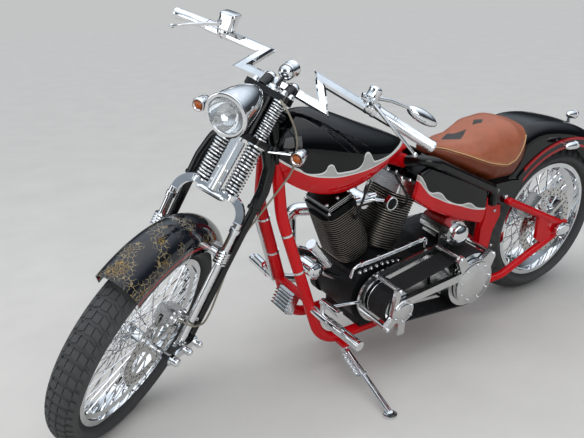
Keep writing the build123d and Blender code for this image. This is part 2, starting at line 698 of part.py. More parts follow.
# Open belt primary on the left
FRONT_PULLEY_RADIUS = 58.0
CLUTCH_RADIUS = 104.0
BELT_THICKNESS = 6.0
primary_centres = ((CRANK_X, CRANK_Z), (CLUTCH_X, CLUTCH_Z))
with BuildPart() as primary_plate:
    with BuildSketch(Plane.XZ.offset(-PLATE_OUT)) as plate_outline:
        with BuildSketch(mode=Mode.PRIVATE) as discs:
            with Locations(primary_centres[0]):
                Circle(FRONT_PULLEY_RADIUS + 40)
            with Locations(primary_centres[1]):
                Circle(CLUTCH_RADIUS + 26)
        make_hull(discs.sketch.edges())
        with BuildSketch(mode=Mode.PRIVATE) as neck_discs:
            with Locations(STARTER_PLACE):
                Circle(STARTER_HOUSING)
            with Locations(primary_centres[1]):
                Circle(STARTER_HOUSING + 20)
        make_hull(neck_discs.sketch.edges())
    extrude(amount=PLATE_OUT - PLATE_IN)
    with BuildSketch(Plane.XZ.offset(-PLATE_OUT)):
        with Locations(STARTER_PLACE):
            Circle(STARTER_HOUSING)
        with Locations(primary_centres[1]):
            Circle(CLUTCH_RADIUS + 12, mode=Mode.SUBTRACT)
    extrude(amount=-30)
    add(starter.part, mode=Mode.SUBTRACT)

with BuildPart() as primary_pulleys:
    for centre, radius in zip(primary_centres, (FRONT_PULLEY_RADIUS, CLUTCH_RADIUS)):
        with BuildSketch(Plane.XZ.offset(-BELT_OUT - 4)):
            with Locations(centre):
                Circle(radius)
        extrude(amount=BELT_OUT + 4 - BELT_IN + 4)
        with BuildSketch(Plane.XZ.offset(-BELT_IN)):
            with Locations(centre):
                Circle(radius * 0.5)
        extrude(amount=BELT_IN - PLATE_OUT)
        with BuildSketch(Plane.XZ.offset(-BELT_IN + 1)):
            with Locations(centre):
                Circle(radius + 9)
        extrude(amount=3)

with BuildPart() as primary_belt:
    with BuildSketch(Plane.XZ.offset(-BELT_OUT)):
        with BuildSketch(mode=Mode.PRIVATE) as outer_discs:
            with Locations(primary_centres[0]):
                Circle(FRONT_PULLEY_RADIUS + SEAT_GAP + BELT_THICKNESS)
            with Locations(primary_centres[1]):
                Circle(CLUTCH_RADIUS + SEAT_GAP + BELT_THICKNESS)
        with BuildSketch(mode=Mode.PRIVATE) as inner_discs:
            with Locations(primary_centres[0]):
                Circle(FRONT_PULLEY_RADIUS + SEAT_GAP)
            with Locations(primary_centres[1]):
                Circle(CLUTCH_RADIUS + SEAT_GAP)
        make_hull(outer_discs.sketch.edges())
        make_hull(inner_discs.sketch.edges(), mode=Mode.SUBTRACT)
    extrude(amount=BELT_OUT - BELT_IN)

standoffs = [
    (CRANK_X + 22, CRANK_Z + 84), (CRANK_X + 62, CRANK_Z - 52), (CLUTCH_X + 84, CLUTCH_Z + 112),
    (CLUTCH_X - 76, CLUTCH_Z + 96)
]
with BuildPart() as primary_guard:
    with BuildSketch(Plane.XZ.offset(-COVER_IN)):
        with Locations(primary_centres[0]):
            Circle(46)
        with Locations(primary_centres[1]):
            Circle(86)
        with BuildLine():
            Polyline((CRANK_X, CRANK_Z + 44), (CRANK_X, CRANK_Z + 20), (CLUTCH_X, CLUTCH_Z + 30),
                     (CLUTCH_X, CLUTCH_Z + 62), close=True)
        make_face()
        with BuildLine():
            Polyline((CRANK_X + 30, CRANK_Z + 10), (CRANK_X + 12, CRANK_Z + 88),
                     (CRANK_X + 32, CRANK_Z + 88), (CRANK_X + 46, CRANK_Z), close=True)
        make_face()
        with BuildLine():
            Polyline((CRANK_X + 20, CRANK_Z - 30), (CRANK_X + 56, CRANK_Z - 62),
                     (CRANK_X + 70, CRANK_Z - 46), (CRANK_X + 36, CRANK_Z - 8), close=True)
        make_face()
        with BuildLine():
            Polyline((CLUTCH_X + 30, CLUTCH_Z + 70), (CLUTCH_X + 74, CLUTCH_Z + 122),
                     (CLUTCH_X + 96, CLUTCH_Z + 104), (CLUTCH_X + 66, CLUTCH_Z + 40), close=True)
        make_face()
        with BuildLine():
            Polyline((CLUTCH_X - 16, CLUTCH_Z + 76), (CLUTCH_X - 66, CLUTCH_Z + 112),
                     (CLUTCH_X - 92, CLUTCH_Z + 84), (CLUTCH_X - 72, CLUTCH_Z + 34), close=True)
        make_face()
        with Locations((CRANK_X, CRANK_Z - 62)):
            Rectangle(30, 60)
    extrude(amount=-(COVER_OUT - COVER_IN))
    for x, z in standoffs:
        add(rod((x, PLATE_OUT, z), (x, COVER_IN + 4, z), 8))

# Forward controls
PEG_RADIUS = 17.0
CONTROL_X = 1168.0
CONTROL_Z = 288.0
with BuildPart() as left_control:
    add(rod((CONTROL_X, 100, CONTROL_Z), (CONTROL_X, 184, CONTROL_Z), 15))
    add(rod((CONTROL_X, 184, CONTROL_Z), (CONTROL_X - 18, 330, CONTROL_Z - 14), PEG_RADIUS))
    add(rod((CONTROL_X, 150, CONTROL_Z), (CONTROL_X + 4, 156, CONTROL_Z + 62), 8))
    add(rod((CONTROL_X + 4, 150, CONTROL_Z + 62), (CONTROL_X - 6, 236, CONTROL_Z + 54), 12))
    add(rod((CONTROL_X + 4, 158, CONTROL_Z + 40), (1010, 150, 296), 6))
    add(cradle_left.part, mode=Mode.SUBTRACT)

with BuildPart() as right_control:
    add(rod((CONTROL_X, -100, CONTROL_Z), (CONTROL_X, -184, CONTROL_Z), 15))
    add(rod((CONTROL_X, -184, CONTROL_Z), (CONTROL_X - 18, -330, CONTROL_Z - 14), PEG_RADIUS))
    add(rod((CONTROL_X, -150, CONTROL_Z), (CONTROL_X + 40, -156, CONTROL_Z + 62), 8))
    add(rod((CONTROL_X + 40, -150, CONTROL_Z + 62), (CONTROL_X + 32, -216, CONTROL_Z + 58), 12))
    add(rod((CONTROL_X - 6, -140, CONTROL_Z), (CONTROL_X - 96, -132, CONTROL_Z - 26), 16))
    add(cradle_right.part, mode=Mode.SUBTRACT)

REGULATOR = (1209.0, 288.0)
with BuildPart() as regulator:
    with BuildSketch(Plane.XZ.offset(-42)):
        with Locations(Location((REGULATOR[0], REGULATOR[1], 0), (0, 0, 24))):
            Rectangle(28, 76)
            with GridLocations(0, 12, 1, 6):
                with Locations((19, 0)):
                    Rectangle(16, 4)
    extrude(amount=84)
    add(frame_crossmembers.part, mode=Mode.SUBTRACT)

# Rear brake caliper on the left, final belt on the right
CALIPER_GAP = 4.0
with BuildPart() as rear_caliper:
    with BuildSketch(Plane.XZ.offset(-REAR_DISC_OUT - 26)):
        with Locations(Location((96, REAR_RADIUS + 84, 0), (0, 0, -45))):
            RectangleRounded(110, 62, 14)
    extrude(amount=REAR_DISC_OUT - REAR_DISC_IN + 52)
    with BuildSketch(Plane.XZ.offset(-REAR_DISC_OUT - CALIPER_GAP)):
        with Locations((0, REAR_RADIUS)):
            Circle(146 + CALIPER_GAP)
    extrude(amount=REAR_DISC_OUT - REAR_DISC_IN + 2 * CALIPER_GAP, mode=Mode.SUBTRACT)
    add(rod((112, REAR_DISC_OUT + 20, REAR_RADIUS + 96), (112, ARM_HALF, REAR_RADIUS + 76), 9))
    add(swingarm_left.part, mode=Mode.SUBTRACT)

with BuildPart() as final_belt:
    with BuildSketch(Plane.XZ.offset(PULLEY_IN + 1)):
        with BuildSketch(mode=Mode.PRIVATE) as outer_discs:
            with Locations(FINAL_PULLEY):
                Circle(FINAL_PULLEY_RADIUS + SEAT_GAP + 5)
            with Locations((0, REAR_RADIUS)):
                Circle(REAR_PULLEY_RADIUS + SEAT_GAP + 5)
        with BuildSketch(mode=Mode.PRIVATE) as inner_discs:
            with Locations(FINAL_PULLEY):
                Circle(FINAL_PULLEY_RADIUS + SEAT_GAP)
            with Locations((0, REAR_RADIUS)):
                Circle(REAR_PULLEY_RADIUS + SEAT_GAP)
        make_hull(outer_discs.sketch.edges())
        make_hull(inner_discs.sketch.edges(), mode=Mode.SUBTRACT)
    extrude(amount=PULLEY_OUT - PULLEY_IN - 2)

LIGHT_X = 30.0
light_z = REAR_RADIUS + 357
tail_z = REAR_RADIUS + 413
with BuildPart() as rear_lights:
    for sign in (1, -1):
        light_y = sign * (STRUT_OUT + 36)
        add(rod((LIGHT_X, sign * STRUT_OUT, light_z - 4), (LIGHT_X, light_y, light_z), 7))
        add(rod((LIGHT_X + 30, light_y, light_z + 2), (LIGHT_X - 30, light_y, light_z), 15))
    add(rod((-150, 0, REAR_RADIUS + 340), (-150, 0, tail_z), 8))
    add(rod((-130, 0, tail_z), (-196, 0, tail_z - 8), 17))
    add(rear_fender.part, mode=Mode.SUBTRACT)
    add(fender_struts.part, mode=Mode.SUBTRACT)

# Springer fork, in the fork's frame
LENS_CENTRE = (241.0, 0.0, 699.0)
with BuildPart() as headlight:
    with BuildSketch(Plane.XZ):
        with BuildLine():
            Polyline((0, 8), (46, 5), (58, 0), (63, -4), (63, -22), (58, -26))
            ThreePointArc((58, -26), (50, -96), (5, -172))
            Polyline((5, -172), (0, -172), (0, 8))
        make_face()
    revolve(axis=Axis.Z)
HEADLIGHT_PLACE = Plane(origin=LENS_CENTRE, x_dir=(0.59, 0, 0.81), z_dir=(0.81, 0, -0.59)).location

RIGID_PIVOT = (-86.0, 42.0)
SPRING_PIVOT = (-22.0, 26.0)
rigid_points = [
    (0, 66, 674), (-20, 98, 626), (-31, LEG_HALF, 556), (RIGID_PIVOT[0], LEG_HALF, RIGID_PIVOT[1])
]
rigid_bends = [60.0, 90.0]
with BuildPart() as rigid_fork:
    with BuildSketch(Plane.XY.offset(YOKE_LOW)):
        with BuildLine():
            Polyline((-22, -84), (-22, 84), (20, 84), (SPRING_U + 28, 60), (SPRING_U + 28, -60),
                     (20, -84), close=True)
        make_face()
        fillet(vertices(), 12)
    extrude(amount=YOKE_HIGH - YOKE_LOW)
    with BuildSketch(Plane.XY.offset(YOKE_HIGH)):
        Circle(STEM_RADIUS)
    extrude(amount=CLAMP_LOW - YOKE_HIGH)
    for sign in (1, -1):
        points = [(u, sign * y, v) for u, y, v in rigid_points]
        add(tube(points, rigid_bends, LEG_RADIUS))
        add(tube(points[:3] + [(-37, sign * LEG_HALF, 500)], rigid_bends, LEG_RADIUS + 5))
        add(rod((-38, sign * LEG_HALF, 492), (-37, sign * LEG_HALF, 500), LEG_RADIUS + 8))
        eye = [(RIGID_PIVOT[0], sign * y, RIGID_PIVOT[1]) for y in (95, 127.7)]
        add(rod(*eye, 17))
    add(rod((SPRING_U + 20, 0, 674), (150, 0, 716), 9))
    add(headlight.part.moved(HEADLIGHT_PLACE), mode=Mode.SUBTRACT)

LEG_CLAMP_V = 336.0
LEG_TOP_V = 444.0
LEG_TOP_U = SPRING_U + 4
leg_clamp_share = (LEG_CLAMP_V - SPRING_PIVOT[1]) / (LEG_TOP_V - SPRING_PIVOT[1])
leg_clamp_u = SPRING_PIVOT[0] + (LEG_TOP_U - SPRING_PIVOT[0]) * leg_clamp_share
FRONT_FENDER_HALF = 66.0
with BuildPart() as spring_fork:
    for sign in (1, -1):
        add(rod((leg_clamp_u - 2.2, sign * LEG_HALF, LEG_CLAMP_V - 16),
                (leg_clamp_u + 2.2, sign * LEG_HALF, LEG_CLAMP_V + 16), 19))
        add(rod((leg_clamp_u, sign * (FRONT_FENDER_HALF + SEAT_GAP), LEG_CLAMP_V),
                (leg_clamp_u, sign * LEG_HALF, LEG_CLAMP_V), 12))
        add(rod((LEG_TOP_U, sign * LEG_HALF, LEG_TOP_V),
                (SPRING_PIVOT[0], sign * LEG_HALF, SPRING_PIVOT[1]), 12))
        eye = [(SPRING_PIVOT[0], sign * y, SPRING_PIVOT[1]) for y in (99, 127.7)]
        add(rod(*eye, 14))
        with BuildSketch(Plane(origin=(SPRING_U - 9, 0, 0), x_dir=(0, 1, 0), z_dir=(1, 0, 0))):
            with BuildLine():
                Line((sign * (LEG_HALF - 14), LEG_TOP_V - 8), (sign * (LEG_HALF + 9), LEG_TOP_V - 8))
                ThreePointArc((sign * (LEG_HALF + 9), LEG_TOP_V - 8),
                              (sign * (LEG_HALF - 12), LEG_TOP_V + 50), (sign * 54, SPRING_BASE + 10))
                Line((sign * 54, SPRING_BASE + 10), (sign * 48, SPRING_BASE - 14))
                ThreePointArc((sign * 48, SPRING_BASE - 14), (sign * (LEG_HALF - 28), LEG_TOP_V + 32),
                              (sign * (LEG_HALF - 14), LEG_TOP_V - 8))
            make_face()
        extrude(amount=18)
    with BuildSketch(Plane.XY.offset(SPRING_BASE - 12)):
        with Locations((SPRING_U, 0)):
            RectangleRounded(52, 2 * SPRING_HALF + 52, 20)
    extrude(amount=12)
    add(rod((SPRING_U + 22, -34, 484), (SPRING_U + 22, 34, 484), 9))

SPRING_RADIUS = 26.0
UPPER_SPRING_RADIUS = 19.0


def spring(radius, wire, low, high, turns):
    """Spring drawn as a ridged sleeve about the Z axis."""
    pitch_height = (high - low) / turns
    ridge = [(radius - wire, low)]
    for index in range(turns):
        ridge.append((radius, low + (index + 0.5) * pitch_height))
        ridge.append((radius - wire, low + (index + 1) * pitch_height))
    with BuildPart() as body:
        with BuildSketch(Plane.XZ):
            with BuildLine():
                Polyline((0, low), *ridge, (0, high), close=True)
            make_face()
        revolve(axis=Axis.Z)
    return body.part


with BuildPart() as fork_springs:
    lower_spring = spring(SPRING_RADIUS, 8, SPRING_BASE, YOKE_LOW, 8)
    upper_spring = spring(UPPER_SPRING_RADIUS, 6, YOKE_HIGH, CLAMP_LOW, 6)
    for sign in (1, -1):
        add(lower_spring.moved(Pos(SPRING_U, sign * SPRING_HALF, 0)))
        add(upper_spring.moved(Pos(SPRING_U, sign * SPRING_HALF, 0)))
    add(spring_fork.part, mode=Mode.SUBTRACT)

with BuildPart() as fork_damper:
    add(rod((SPRING_U + 22, 0, 494), (SPRING_U + 18, 0, 570), 15))
    add(rod((SPRING_U + 18, 0, 570), (SPRING_U + 14, 0, YOKE_LOW), 8))
    add(spring_fork.part, mode=Mode.SUBTRACT)
    add(rigid_fork.part, mode=Mode.SUBTRACT)

ROCKER_IN = 128.0
ROCKER_OUT = 136.0
FRONT_AXLE_HALF = 140.0
with BuildPart() as rockers:
    for sign in (1, -1):
        with BuildSketch(Plane.XZ.offset(-sign * ROCKER_IN)):
            with BuildSketch(mode=Mode.PRIVATE) as eyes:
                with Locations(RIGID_PIVOT):
                    Circle(15)
                with Locations(SPRING_PIVOT):
                    Circle(15)
                with Locations((AXLE_LEAD, 0)):
                    Circle(20)
            make_hull(eyes.sketch.edges())
            with Locations((AXLE_LEAD, 0)):
                Circle(FRONT_AXLE_RADIUS + BEARING_CLEARANCE, mode=Mode.SUBTRACT)
        extrude(amount=-sign * (ROCKER_OUT - ROCKER_IN))
        for u, v in (RIGID_PIVOT, SPRING_PIVOT):
            with BuildSketch(Plane.XZ.offset(-sign * ROCKER_OUT)):
                with Locations((u, v)):
                    Circle(11)
            extrude(amount=-sign * 14)

with BuildPart() as front_axle:
    add(rod((AXLE_LEAD, -FRONT_AXLE_HALF, 0), (AXLE_LEAD, FRONT_AXLE_HALF, 0), FRONT_AXLE_RADIUS))
    for sign in (1, -1):
        add(rod((AXLE_LEAD, sign * (ROCKER_OUT + SEAT_GAP), 0), (AXLE_LEAD, sign * 158, 0), 14))
    fillet(edges().filter_by(lambda e: abs(abs(e.center().Y) - 158) < 0.5), 9)

with BuildPart() as top_clamp:
    with BuildSketch(Plane.XY.offset(CLAMP_LOW)):
        with BuildLine():
            Polyline((-30, -62), (-30, 62), (10, 76), (SPRING_U + 22, 70), (SPRING_U + 22, -70), (10, -76),
                     close=True)
        make_face()
        fillet(vertices(), 14)
    extrude(amount=CLAMP_HIGH - CLAMP_LOW)
    BAR_CENTRE = (-46.0, 0.0, 856.0)
    for sign in (1, -1):
        add(rod((-12, sign * 40, CLAMP_HIGH - 6), (BAR_CENTRE[0], sign * 40, BAR_CENTRE[2]), 20))
    add(rod((4, 0, CLAMP_HIGH - 4), (-48, 0, 898), 5))
    add(rod((-34, 0, 892), (-72, 0, 914), 24))

bar_low = (-75.0, 179.0, 836.0)
bar_high = (-54.0, 63.0, 936.0)
bar_end = (-182.0, 475.0, 912.0)
GRIP_SHARE = 0.65
grip_start = tuple(Vector(*bar_high) + (Vector(*bar_end) - Vector(*bar_high)) * GRIP_SHARE)
with BuildPart() as handlebar:
    for sign in (1, -1):
        run = [BAR_CENTRE, bar_low, bar_high, grip_start]
        run = [(u, sign * y, v) for u, y, v in run]
        add(rod(run[0], run[1], BAR_RADIUS))
        add(rod(run[1], run[2], BAR_RADIUS))
        add(rod(run[2], run[3], BAR_RADIUS))
        with Locations(run[1], run[2]):
            Sphere(BAR_RADIUS)
    with Locations(BAR_CENTRE):
        Sphere(BAR_RADIUS)
    add(top_clamp.part, mode=Mode.SUBTRACT)

PERCH_SHARE = 0.48


def bar_controls():
    """Left grip with its lever, perch and master cylinder."""
    high = Vector(*bar_high)
    end = Vector(*bar_end)
    along = (end - high).normalized()
    perch = high + (end - high) * PERCH_SHARE
    with BuildPart() as body:
        add(rod(grip_start, bar_end, BAR_RADIUS + 2))
        add(rod(perch, grip_start, BAR_RADIUS + 2.5))
        add(rod(perch - along * 16, perch + along * 16, BAR_RADIUS + 8))
        add(rod(perch - along * 2 + Vector(14, 0, 8), perch + along * 2 + Vector(56, 0, 16), 13))
        add(rod(perch + Vector(52, 6, 14), perch + Vector(34, 190, 2), 6))
        with Locations(tuple(perch + Vector(34, 190, 2))):
            Sphere(8)
        add(rod(perch + Vector(36, -8, 20), perch + Vector(30, -8, 56), 20))
        add(rod(perch - along * 40, grip_start, BAR_RADIUS), mode=Mode.SUBTRACT)
    return body.part


with BuildPart() as left_bar_controls:
    add(bar_controls())

with BuildPart() as right_bar_controls:
    add(bar_controls().mirror(Plane.XZ))

mirror_foot = Vector(*bar_high) + (Vector(*bar_end) - Vector(*bar_high)) * 0.38 + Vector(0, 0, 18)
with BuildPart() as mirror_arm:
    add(rod(mirror_foot, (-150, 300, 975), 6))
    add(rod((-150, 300, 975), (-215, 352, 988), 6))
    add(rod((-205, 345, 986), (-250, 440, 984), 21))
    add(handlebar.part, mode=Mode.SUBTRACT)
    add(left_bar_controls.part, mode=Mode.SUBTRACT)

with BuildPart() as front_signals:
    for sign in (1, -1):
        add(rod((6, sign * 85, 674), (8, sign * 150, 692), 8))
        add(rod((-14, sign * 170, 712), (30, sign * 170, 683), 21))
    add(rigid_fork.part, mode=Mode.SUBTRACT)

FRONT_FENDER_RADIUS = 408.0
FRONT_FENDER_REAR = -31.0
FRONT_FENDER_SWEEP = 90.0
with BuildPart() as front_fender:
    with BuildSketch(Plane.YZ):
        with BuildLine():
            half = FRONT_FENDER_HALF
            inner = half - FENDER_SHEET
            shoulder = FRONT_FENDER_RADIUS - 44
            edge = FRONT_RADIUS - 28
            ThreePointArc((-half, shoulder), (0, FRONT_FENDER_RADIUS), (half, shoulder))
            Polyline((half, shoulder), (half, edge), (inner, edge), (inner, shoulder))
            ThreePointArc((inner, shoulder), (0, FRONT_FENDER_RADIUS - FENDER_SHEET), (-inner, shoulder))
            Polyline((-inner, shoulder), (-inner, edge), (-half, edge), (-half, shoulder))
        make_face()
    revolve(axis=Axis.Y, revolution_arc=FRONT_FENDER_SWEEP)
FRONT_FENDER_PLACE = TURNED * Pos(AXLE_LEAD, 0, 0) * Rot(0, FRONT_FENDER_REAR, 0)

with BuildPart() as front_caliper:
    with BuildSketch(Plane.XZ.offset(-FRONT_DISC_OUT - 24)):
        with Locations(Location((AXLE_LEAD + 4, 112, 0), (0, 0, 4))):
            RectangleRounded(112, 58, 14)
    extrude(amount=FRONT_DISC_OUT - FRONT_DISC_IN + 44)
    with BuildSketch(Plane.XZ.offset(-FRONT_DISC_OUT - CALIPER_GAP)):
        with Locations((AXLE_LEAD, 0)):
            Circle(FRONT_DISC_RADIUS + CALIPER_GAP)
    extrude(amount=FRONT_DISC_OUT - FRONT_DISC_IN + 2 * CALIPER_GAP, mode=Mode.SUBTRACT)
    add(rod((AXLE_LEAD - 40, 78, 112), (-74, LEG_HALF, 112), 9))
    add(rigid_fork.part, mode=Mode.SUBTRACT)
    add(spring_fork.part, mode=Mode.SUBTRACT)

# Hose of the front brake, from the top clamp round the rigid leg to the caliper
HOSE_RADIUS = 3.0
hose_points = [
    (40, 36, 814), (84, 84, 800), (-6, 134, 745), (-46, 160, 650), (-66, 118, 420), (-84, 116, 290),
    (-104, 128, 150), (-84, 134, 106), (16, 132, 106), (16, 80, 104)
]
hose_bends = [40, 150, 120, 150, 200, 60, 35, 30]
with BuildPart() as brake_hose:
    add(tube(hose_points, hose_bends, HOSE_RADIUS))
    for piece in (top_clamp, front_caliper):
        add(piece.part, mode=Mode.SUBTRACT)

# Side stand, in the parked frame: its foot lies flat on the floor
STAND_FOOT = (1108.0, 448.0)
stand_top = (PARKED * Pos(*STAND_PIVOT)).position
stand_up = ((PARKED * Pos(0, 0, 1)).position - PARKED.position).normalized()
with BuildPart() as side_stand:
    add(rod(stand_top - stand_up * STAND_EYE_HALF, stand_top + stand_up * STAND_EYE_HALF, 17))
    add(rod(stand_top, (STAND_FOOT[0], STAND_FOOT[1], 12), 10))
    add(rod((STAND_FOOT[0], STAND_FOOT[1], 0), (STAND_FOOT[0], STAND_FOOT[1], 9), 22))
    add(rod(stand_top - stand_up * 30, stand_top + stand_up * 30, STAND_PIN_RADIUS + BEARING_CLEARANCE),
        mode=Mode.SUBTRACT)

os.makedirs("parts", exist_ok=True)
for piece, node, place in (
    (front_tyre, "front_tyre", PARKED * FRONT_PLACE),
    (front_rim, "front_rim", PARKED * FRONT_PLACE),
    (front_spokes, "front_spokes", PARKED * FRONT_PLACE),
    (front_rotor, "front_rotor", PARKED * FRONT_PLACE),
    (rear_tyre, "rear_tyre", PARKED * REAR_PLACE),
    (rear_rim, "rear_rim", PARKED * REAR_PLACE),
    (rear_spokes, "rear_spokes", PARKED * REAR_PLACE),
    (rear_rotor, "rear_rotor", PARKED * REAR_PLACE),
    (rear_pulley, "rear_pulley", PARKED * REAR_PLACE),
    (frame_backbone, "frame_backbone", PARKED),
    (cradle_left, "cradle_left", PARKED),
    (cradle_right, "cradle_right", PARKED),
    (frame_crossmembers, "frame_crossmembers", PARKED),
    (seat_rails, "seat_rails", PARKED),
    (swingarm_left, "swingarm_left", PARKED),
    (swingarm_right, "swingarm_right", PARKED),
    (rear_axle, "rear_axle", PARKED),
    (fuel_tank, "fuel_tank", PARKED),
    (oil_tank, "oil_tank", PARKED),
    (seat, "seat", PARKED),
    (rear_fender, "rear_fender", PARKED),
    (fender_struts, "fender_struts", PARKED),
    (crankcase, "crankcase", PARKED),
    (cylinders, "cylinders", PARKED),
    (rocker_boxes, "rocker_boxes", PARKED),
    (pushrod_tubes, "pushrod_tubes", PARKED),
    (intake, "intake", PARKED),
    (exhaust, "exhaust", PARKED),
    (gearbox, "gearbox", PARKED),
    (starter, "starter", PARKED),
    (engine_fittings, "engine_fittings", PARKED),
    (primary_plate, "primary_plate", PARKED),
    (primary_pulleys, "primary_pulleys", PARKED),
    (primary_belt, "primary_belt", PARKED),
    (primary_guard, "primary_guard", PARKED),
    (left_control, "left_control", PARKED),
    (right_control, "right_control", PARKED),
    (regulator, "regulator", PARKED),
    (rear_caliper, "rear_caliper", PARKED),
    (final_belt, "final_belt", PARKED),
    (rear_lights, "rear_lights", PARKED),
    (rigid_fork, "rigid_fork", PARKED * TURNED),
    (spring_fork, "spring_fork", PARKED * TURNED),
    (fork_springs, "fork_springs", PARKED * TURNED),
    (fork_damper, "fork_damper", PARKED * TURNED),
    (rockers, "rockers", PARKED * TURNED),
    (front_axle, "front_axle", PARKED * TURNED),
    (top_clamp, "top_clamp", PARKED * TURNED),
    (handlebar, "handlebar", PARKED * TURNED),
    (left_bar_controls, "left_bar_controls", PARKED * TURNED),
    (right_bar_controls, "right_bar_controls", PARKED * TURNED),
    (mirror_arm, "mirror", PARKED * TURNED),
    (front_signals, "front_signals", PARKED * TURNED),
    (headlight, "headlight", PARKED * TURNED * HEADLIGHT_PLACE),
    (front_fender, "front_fender", PARKED * FRONT_FENDER_PLACE),
    (front_caliper, "front_caliper", PARKED * TURNED),
    (brake_hose, "brake_hose", PARKED * TURNED),
    (side_stand, "side_stand", Location()),
):
    piece.part.locate(place)
    piece.part.label = node
    export_step(piece.part, f"parts/{node}.step")
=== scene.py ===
"""Dress a long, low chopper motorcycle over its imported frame: finishes, tyres, wheels, fork, seat and trim.

Sizes are millimetres in the machine's own spaces; a finished mesh is laid into the parked pose in metres.
"""

from __future__ import annotations

import logging
import math
from dataclasses import dataclass
from enum import Enum
from functools import cached_property
from typing import Sequence

import bmesh
import bpy
from mathutils import Matrix, Vector
from mathutils.bvhtree import BVHTree

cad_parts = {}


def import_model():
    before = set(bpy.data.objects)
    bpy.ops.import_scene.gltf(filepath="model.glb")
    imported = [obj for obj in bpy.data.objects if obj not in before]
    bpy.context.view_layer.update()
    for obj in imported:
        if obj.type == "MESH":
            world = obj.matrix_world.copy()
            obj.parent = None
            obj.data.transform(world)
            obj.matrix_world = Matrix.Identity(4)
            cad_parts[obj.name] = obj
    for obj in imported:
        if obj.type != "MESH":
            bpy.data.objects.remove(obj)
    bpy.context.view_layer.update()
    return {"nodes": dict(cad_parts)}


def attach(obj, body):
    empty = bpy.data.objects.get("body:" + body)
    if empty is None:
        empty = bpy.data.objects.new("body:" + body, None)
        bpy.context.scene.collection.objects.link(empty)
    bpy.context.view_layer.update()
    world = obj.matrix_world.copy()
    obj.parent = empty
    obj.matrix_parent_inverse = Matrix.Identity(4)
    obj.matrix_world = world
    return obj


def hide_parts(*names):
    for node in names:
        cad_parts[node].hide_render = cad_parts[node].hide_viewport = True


LOG = logging.getLogger("chopper")
Point = Sequence[float]
Pairs = Sequence[tuple[float, float]]
Mesh = bpy.types.Mesh
Node = bpy.types.Node
Tree = bpy.types.NodeTree
Socket = bpy.types.NodeSocket
Colour = tuple[float, float, float, float]

MM = 0.001
ORIGIN, AHEAD, LEFT, UP = (0, 0, 0), (1, 0, 0), (0, 1, 0), (0, 0, 1)
SIDES = (("left", 1), ("right", -1))
AXLE_LEAD = 40.0
REAR_RADIUS = 333.0
CRANK = (908.0, 280.0)
BANK_ANGLE = 22.5
SHARP_ANGLE = 35.0
# Red of the frame and of the sprayed schemes
RED = "c60b14"
# Places along the seat and the height of its seam there
SEAM = (
    (205.0, 752.0), (235.0, 745.0), (275.0, 712.0), (315.0, 676.0), (354.0, 664.0), (438.0, 684.0),
    (530.0, 720.0), (600.0, 742.0), (666.0, 752.0),
)


class Space(Enum):
    """Spaces that pieces are modelled in, each with the body that its pieces ride on."""

    FLOOR = ("floor", "side_stand")
    BIKE = ("bike", "frame")
    FORK = ("fork", "steering")
    FRONT_WHEEL = ("front_wheel", "front_wheel")
    REAR_WHEEL = ("rear_wheel", "rear_wheel")
    FRONT_CYLINDER = ("front_cylinder", "frame")
    REAR_CYLINDER = ("rear_cylinder", "frame")

    @property
    def body(self) -> str:
        """Body that pieces of this space ride on."""
        return self.value[1]

    @property
    def matrix(self) -> Matrix:
        """Matrix from this space to the parked machine.

        Returns:
            The matrix, from millimetres to metres.
        """
        bike = Matrix((
            (0.99994626, -0.00144281, 0.01026615, -3.465263),
            (0.0, 0.99026807, 0.13917310, -14.336584),
            (-0.01036704, -0.13916562, 0.99021485, 1.020352),
            (0.0, 0.0, 0.0, 1.0),
        ))
        fork = Matrix((
            (0.67484337, -0.51033755, -0.53304972, 1730.189786),
            (0.65616830, 0.74549168, 0.11698426, 31.358353),
            (0.33768267, -0.42871638, 0.83795745, 308.200359),
            (0.0, 0.0, 0.0, 1.0),
        ))
        crank = bike @ Matrix.Translation((CRANK[0], 0.0, CRANK[1]))
        places = {
            Space.FLOOR: Matrix.Identity(4),
            Space.BIKE: bike,
            Space.FORK: fork,
            Space.FRONT_WHEEL: fork @ Matrix.Translation((AXLE_LEAD, 0.0, 0.0)),
            Space.REAR_WHEEL: bike @ Matrix.Translation((0.0, 0.0, REAR_RADIUS)),
            Space.FRONT_CYLINDER: crank @ Matrix.Rotation(math.radians(BANK_ANGLE), 4, "Y"),
            Space.REAR_CYLINDER: crank @ Matrix.Rotation(math.radians(-BANK_ANGLE), 4, "Y"),
        }
        return Matrix.Scale(MM, 4) @ places[self]


def linear(colour: str) -> Colour:
    """Turn an sRGB hex colour into linear RGBA.

    Args:
        colour: Six hex digits.

    Returns:
        The colour as Blender's sockets hold it.
    """
    values = [int(colour[i:i + 2], 16) / 255 for i in (0, 2, 4)]
    return (*[v / 12.92 if v <= 0.04045 else ((v + 0.055) / 1.055) ** 2.4 for v in values], 1.0)


def add_node(tree: Tree, kind: str, inputs: dict | None = None, **settings: object) -> Node:
    """Add one node to a shader or geometry tree, with its settings and links.

    Args:
        tree: Tree that takes the node.
        kind: Blender's type name of the node.
        inputs: Socket names or numbers with a value, or with an output or a node that is linked in.
        **settings: Properties of the node itself.

    Returns:
        The new node.
    """
    new = tree.nodes.new(kind)
    for name, value in settings.items():
        setattr(new, name, value)
    for key, value in (inputs or {}).items():
        source = value.outputs[0] if isinstance(value, Node) else value
        if isinstance(source, Socket):
            tree.links.new(source, new.inputs[key])
        else:
            new.inputs[key].default_value = source
    return new


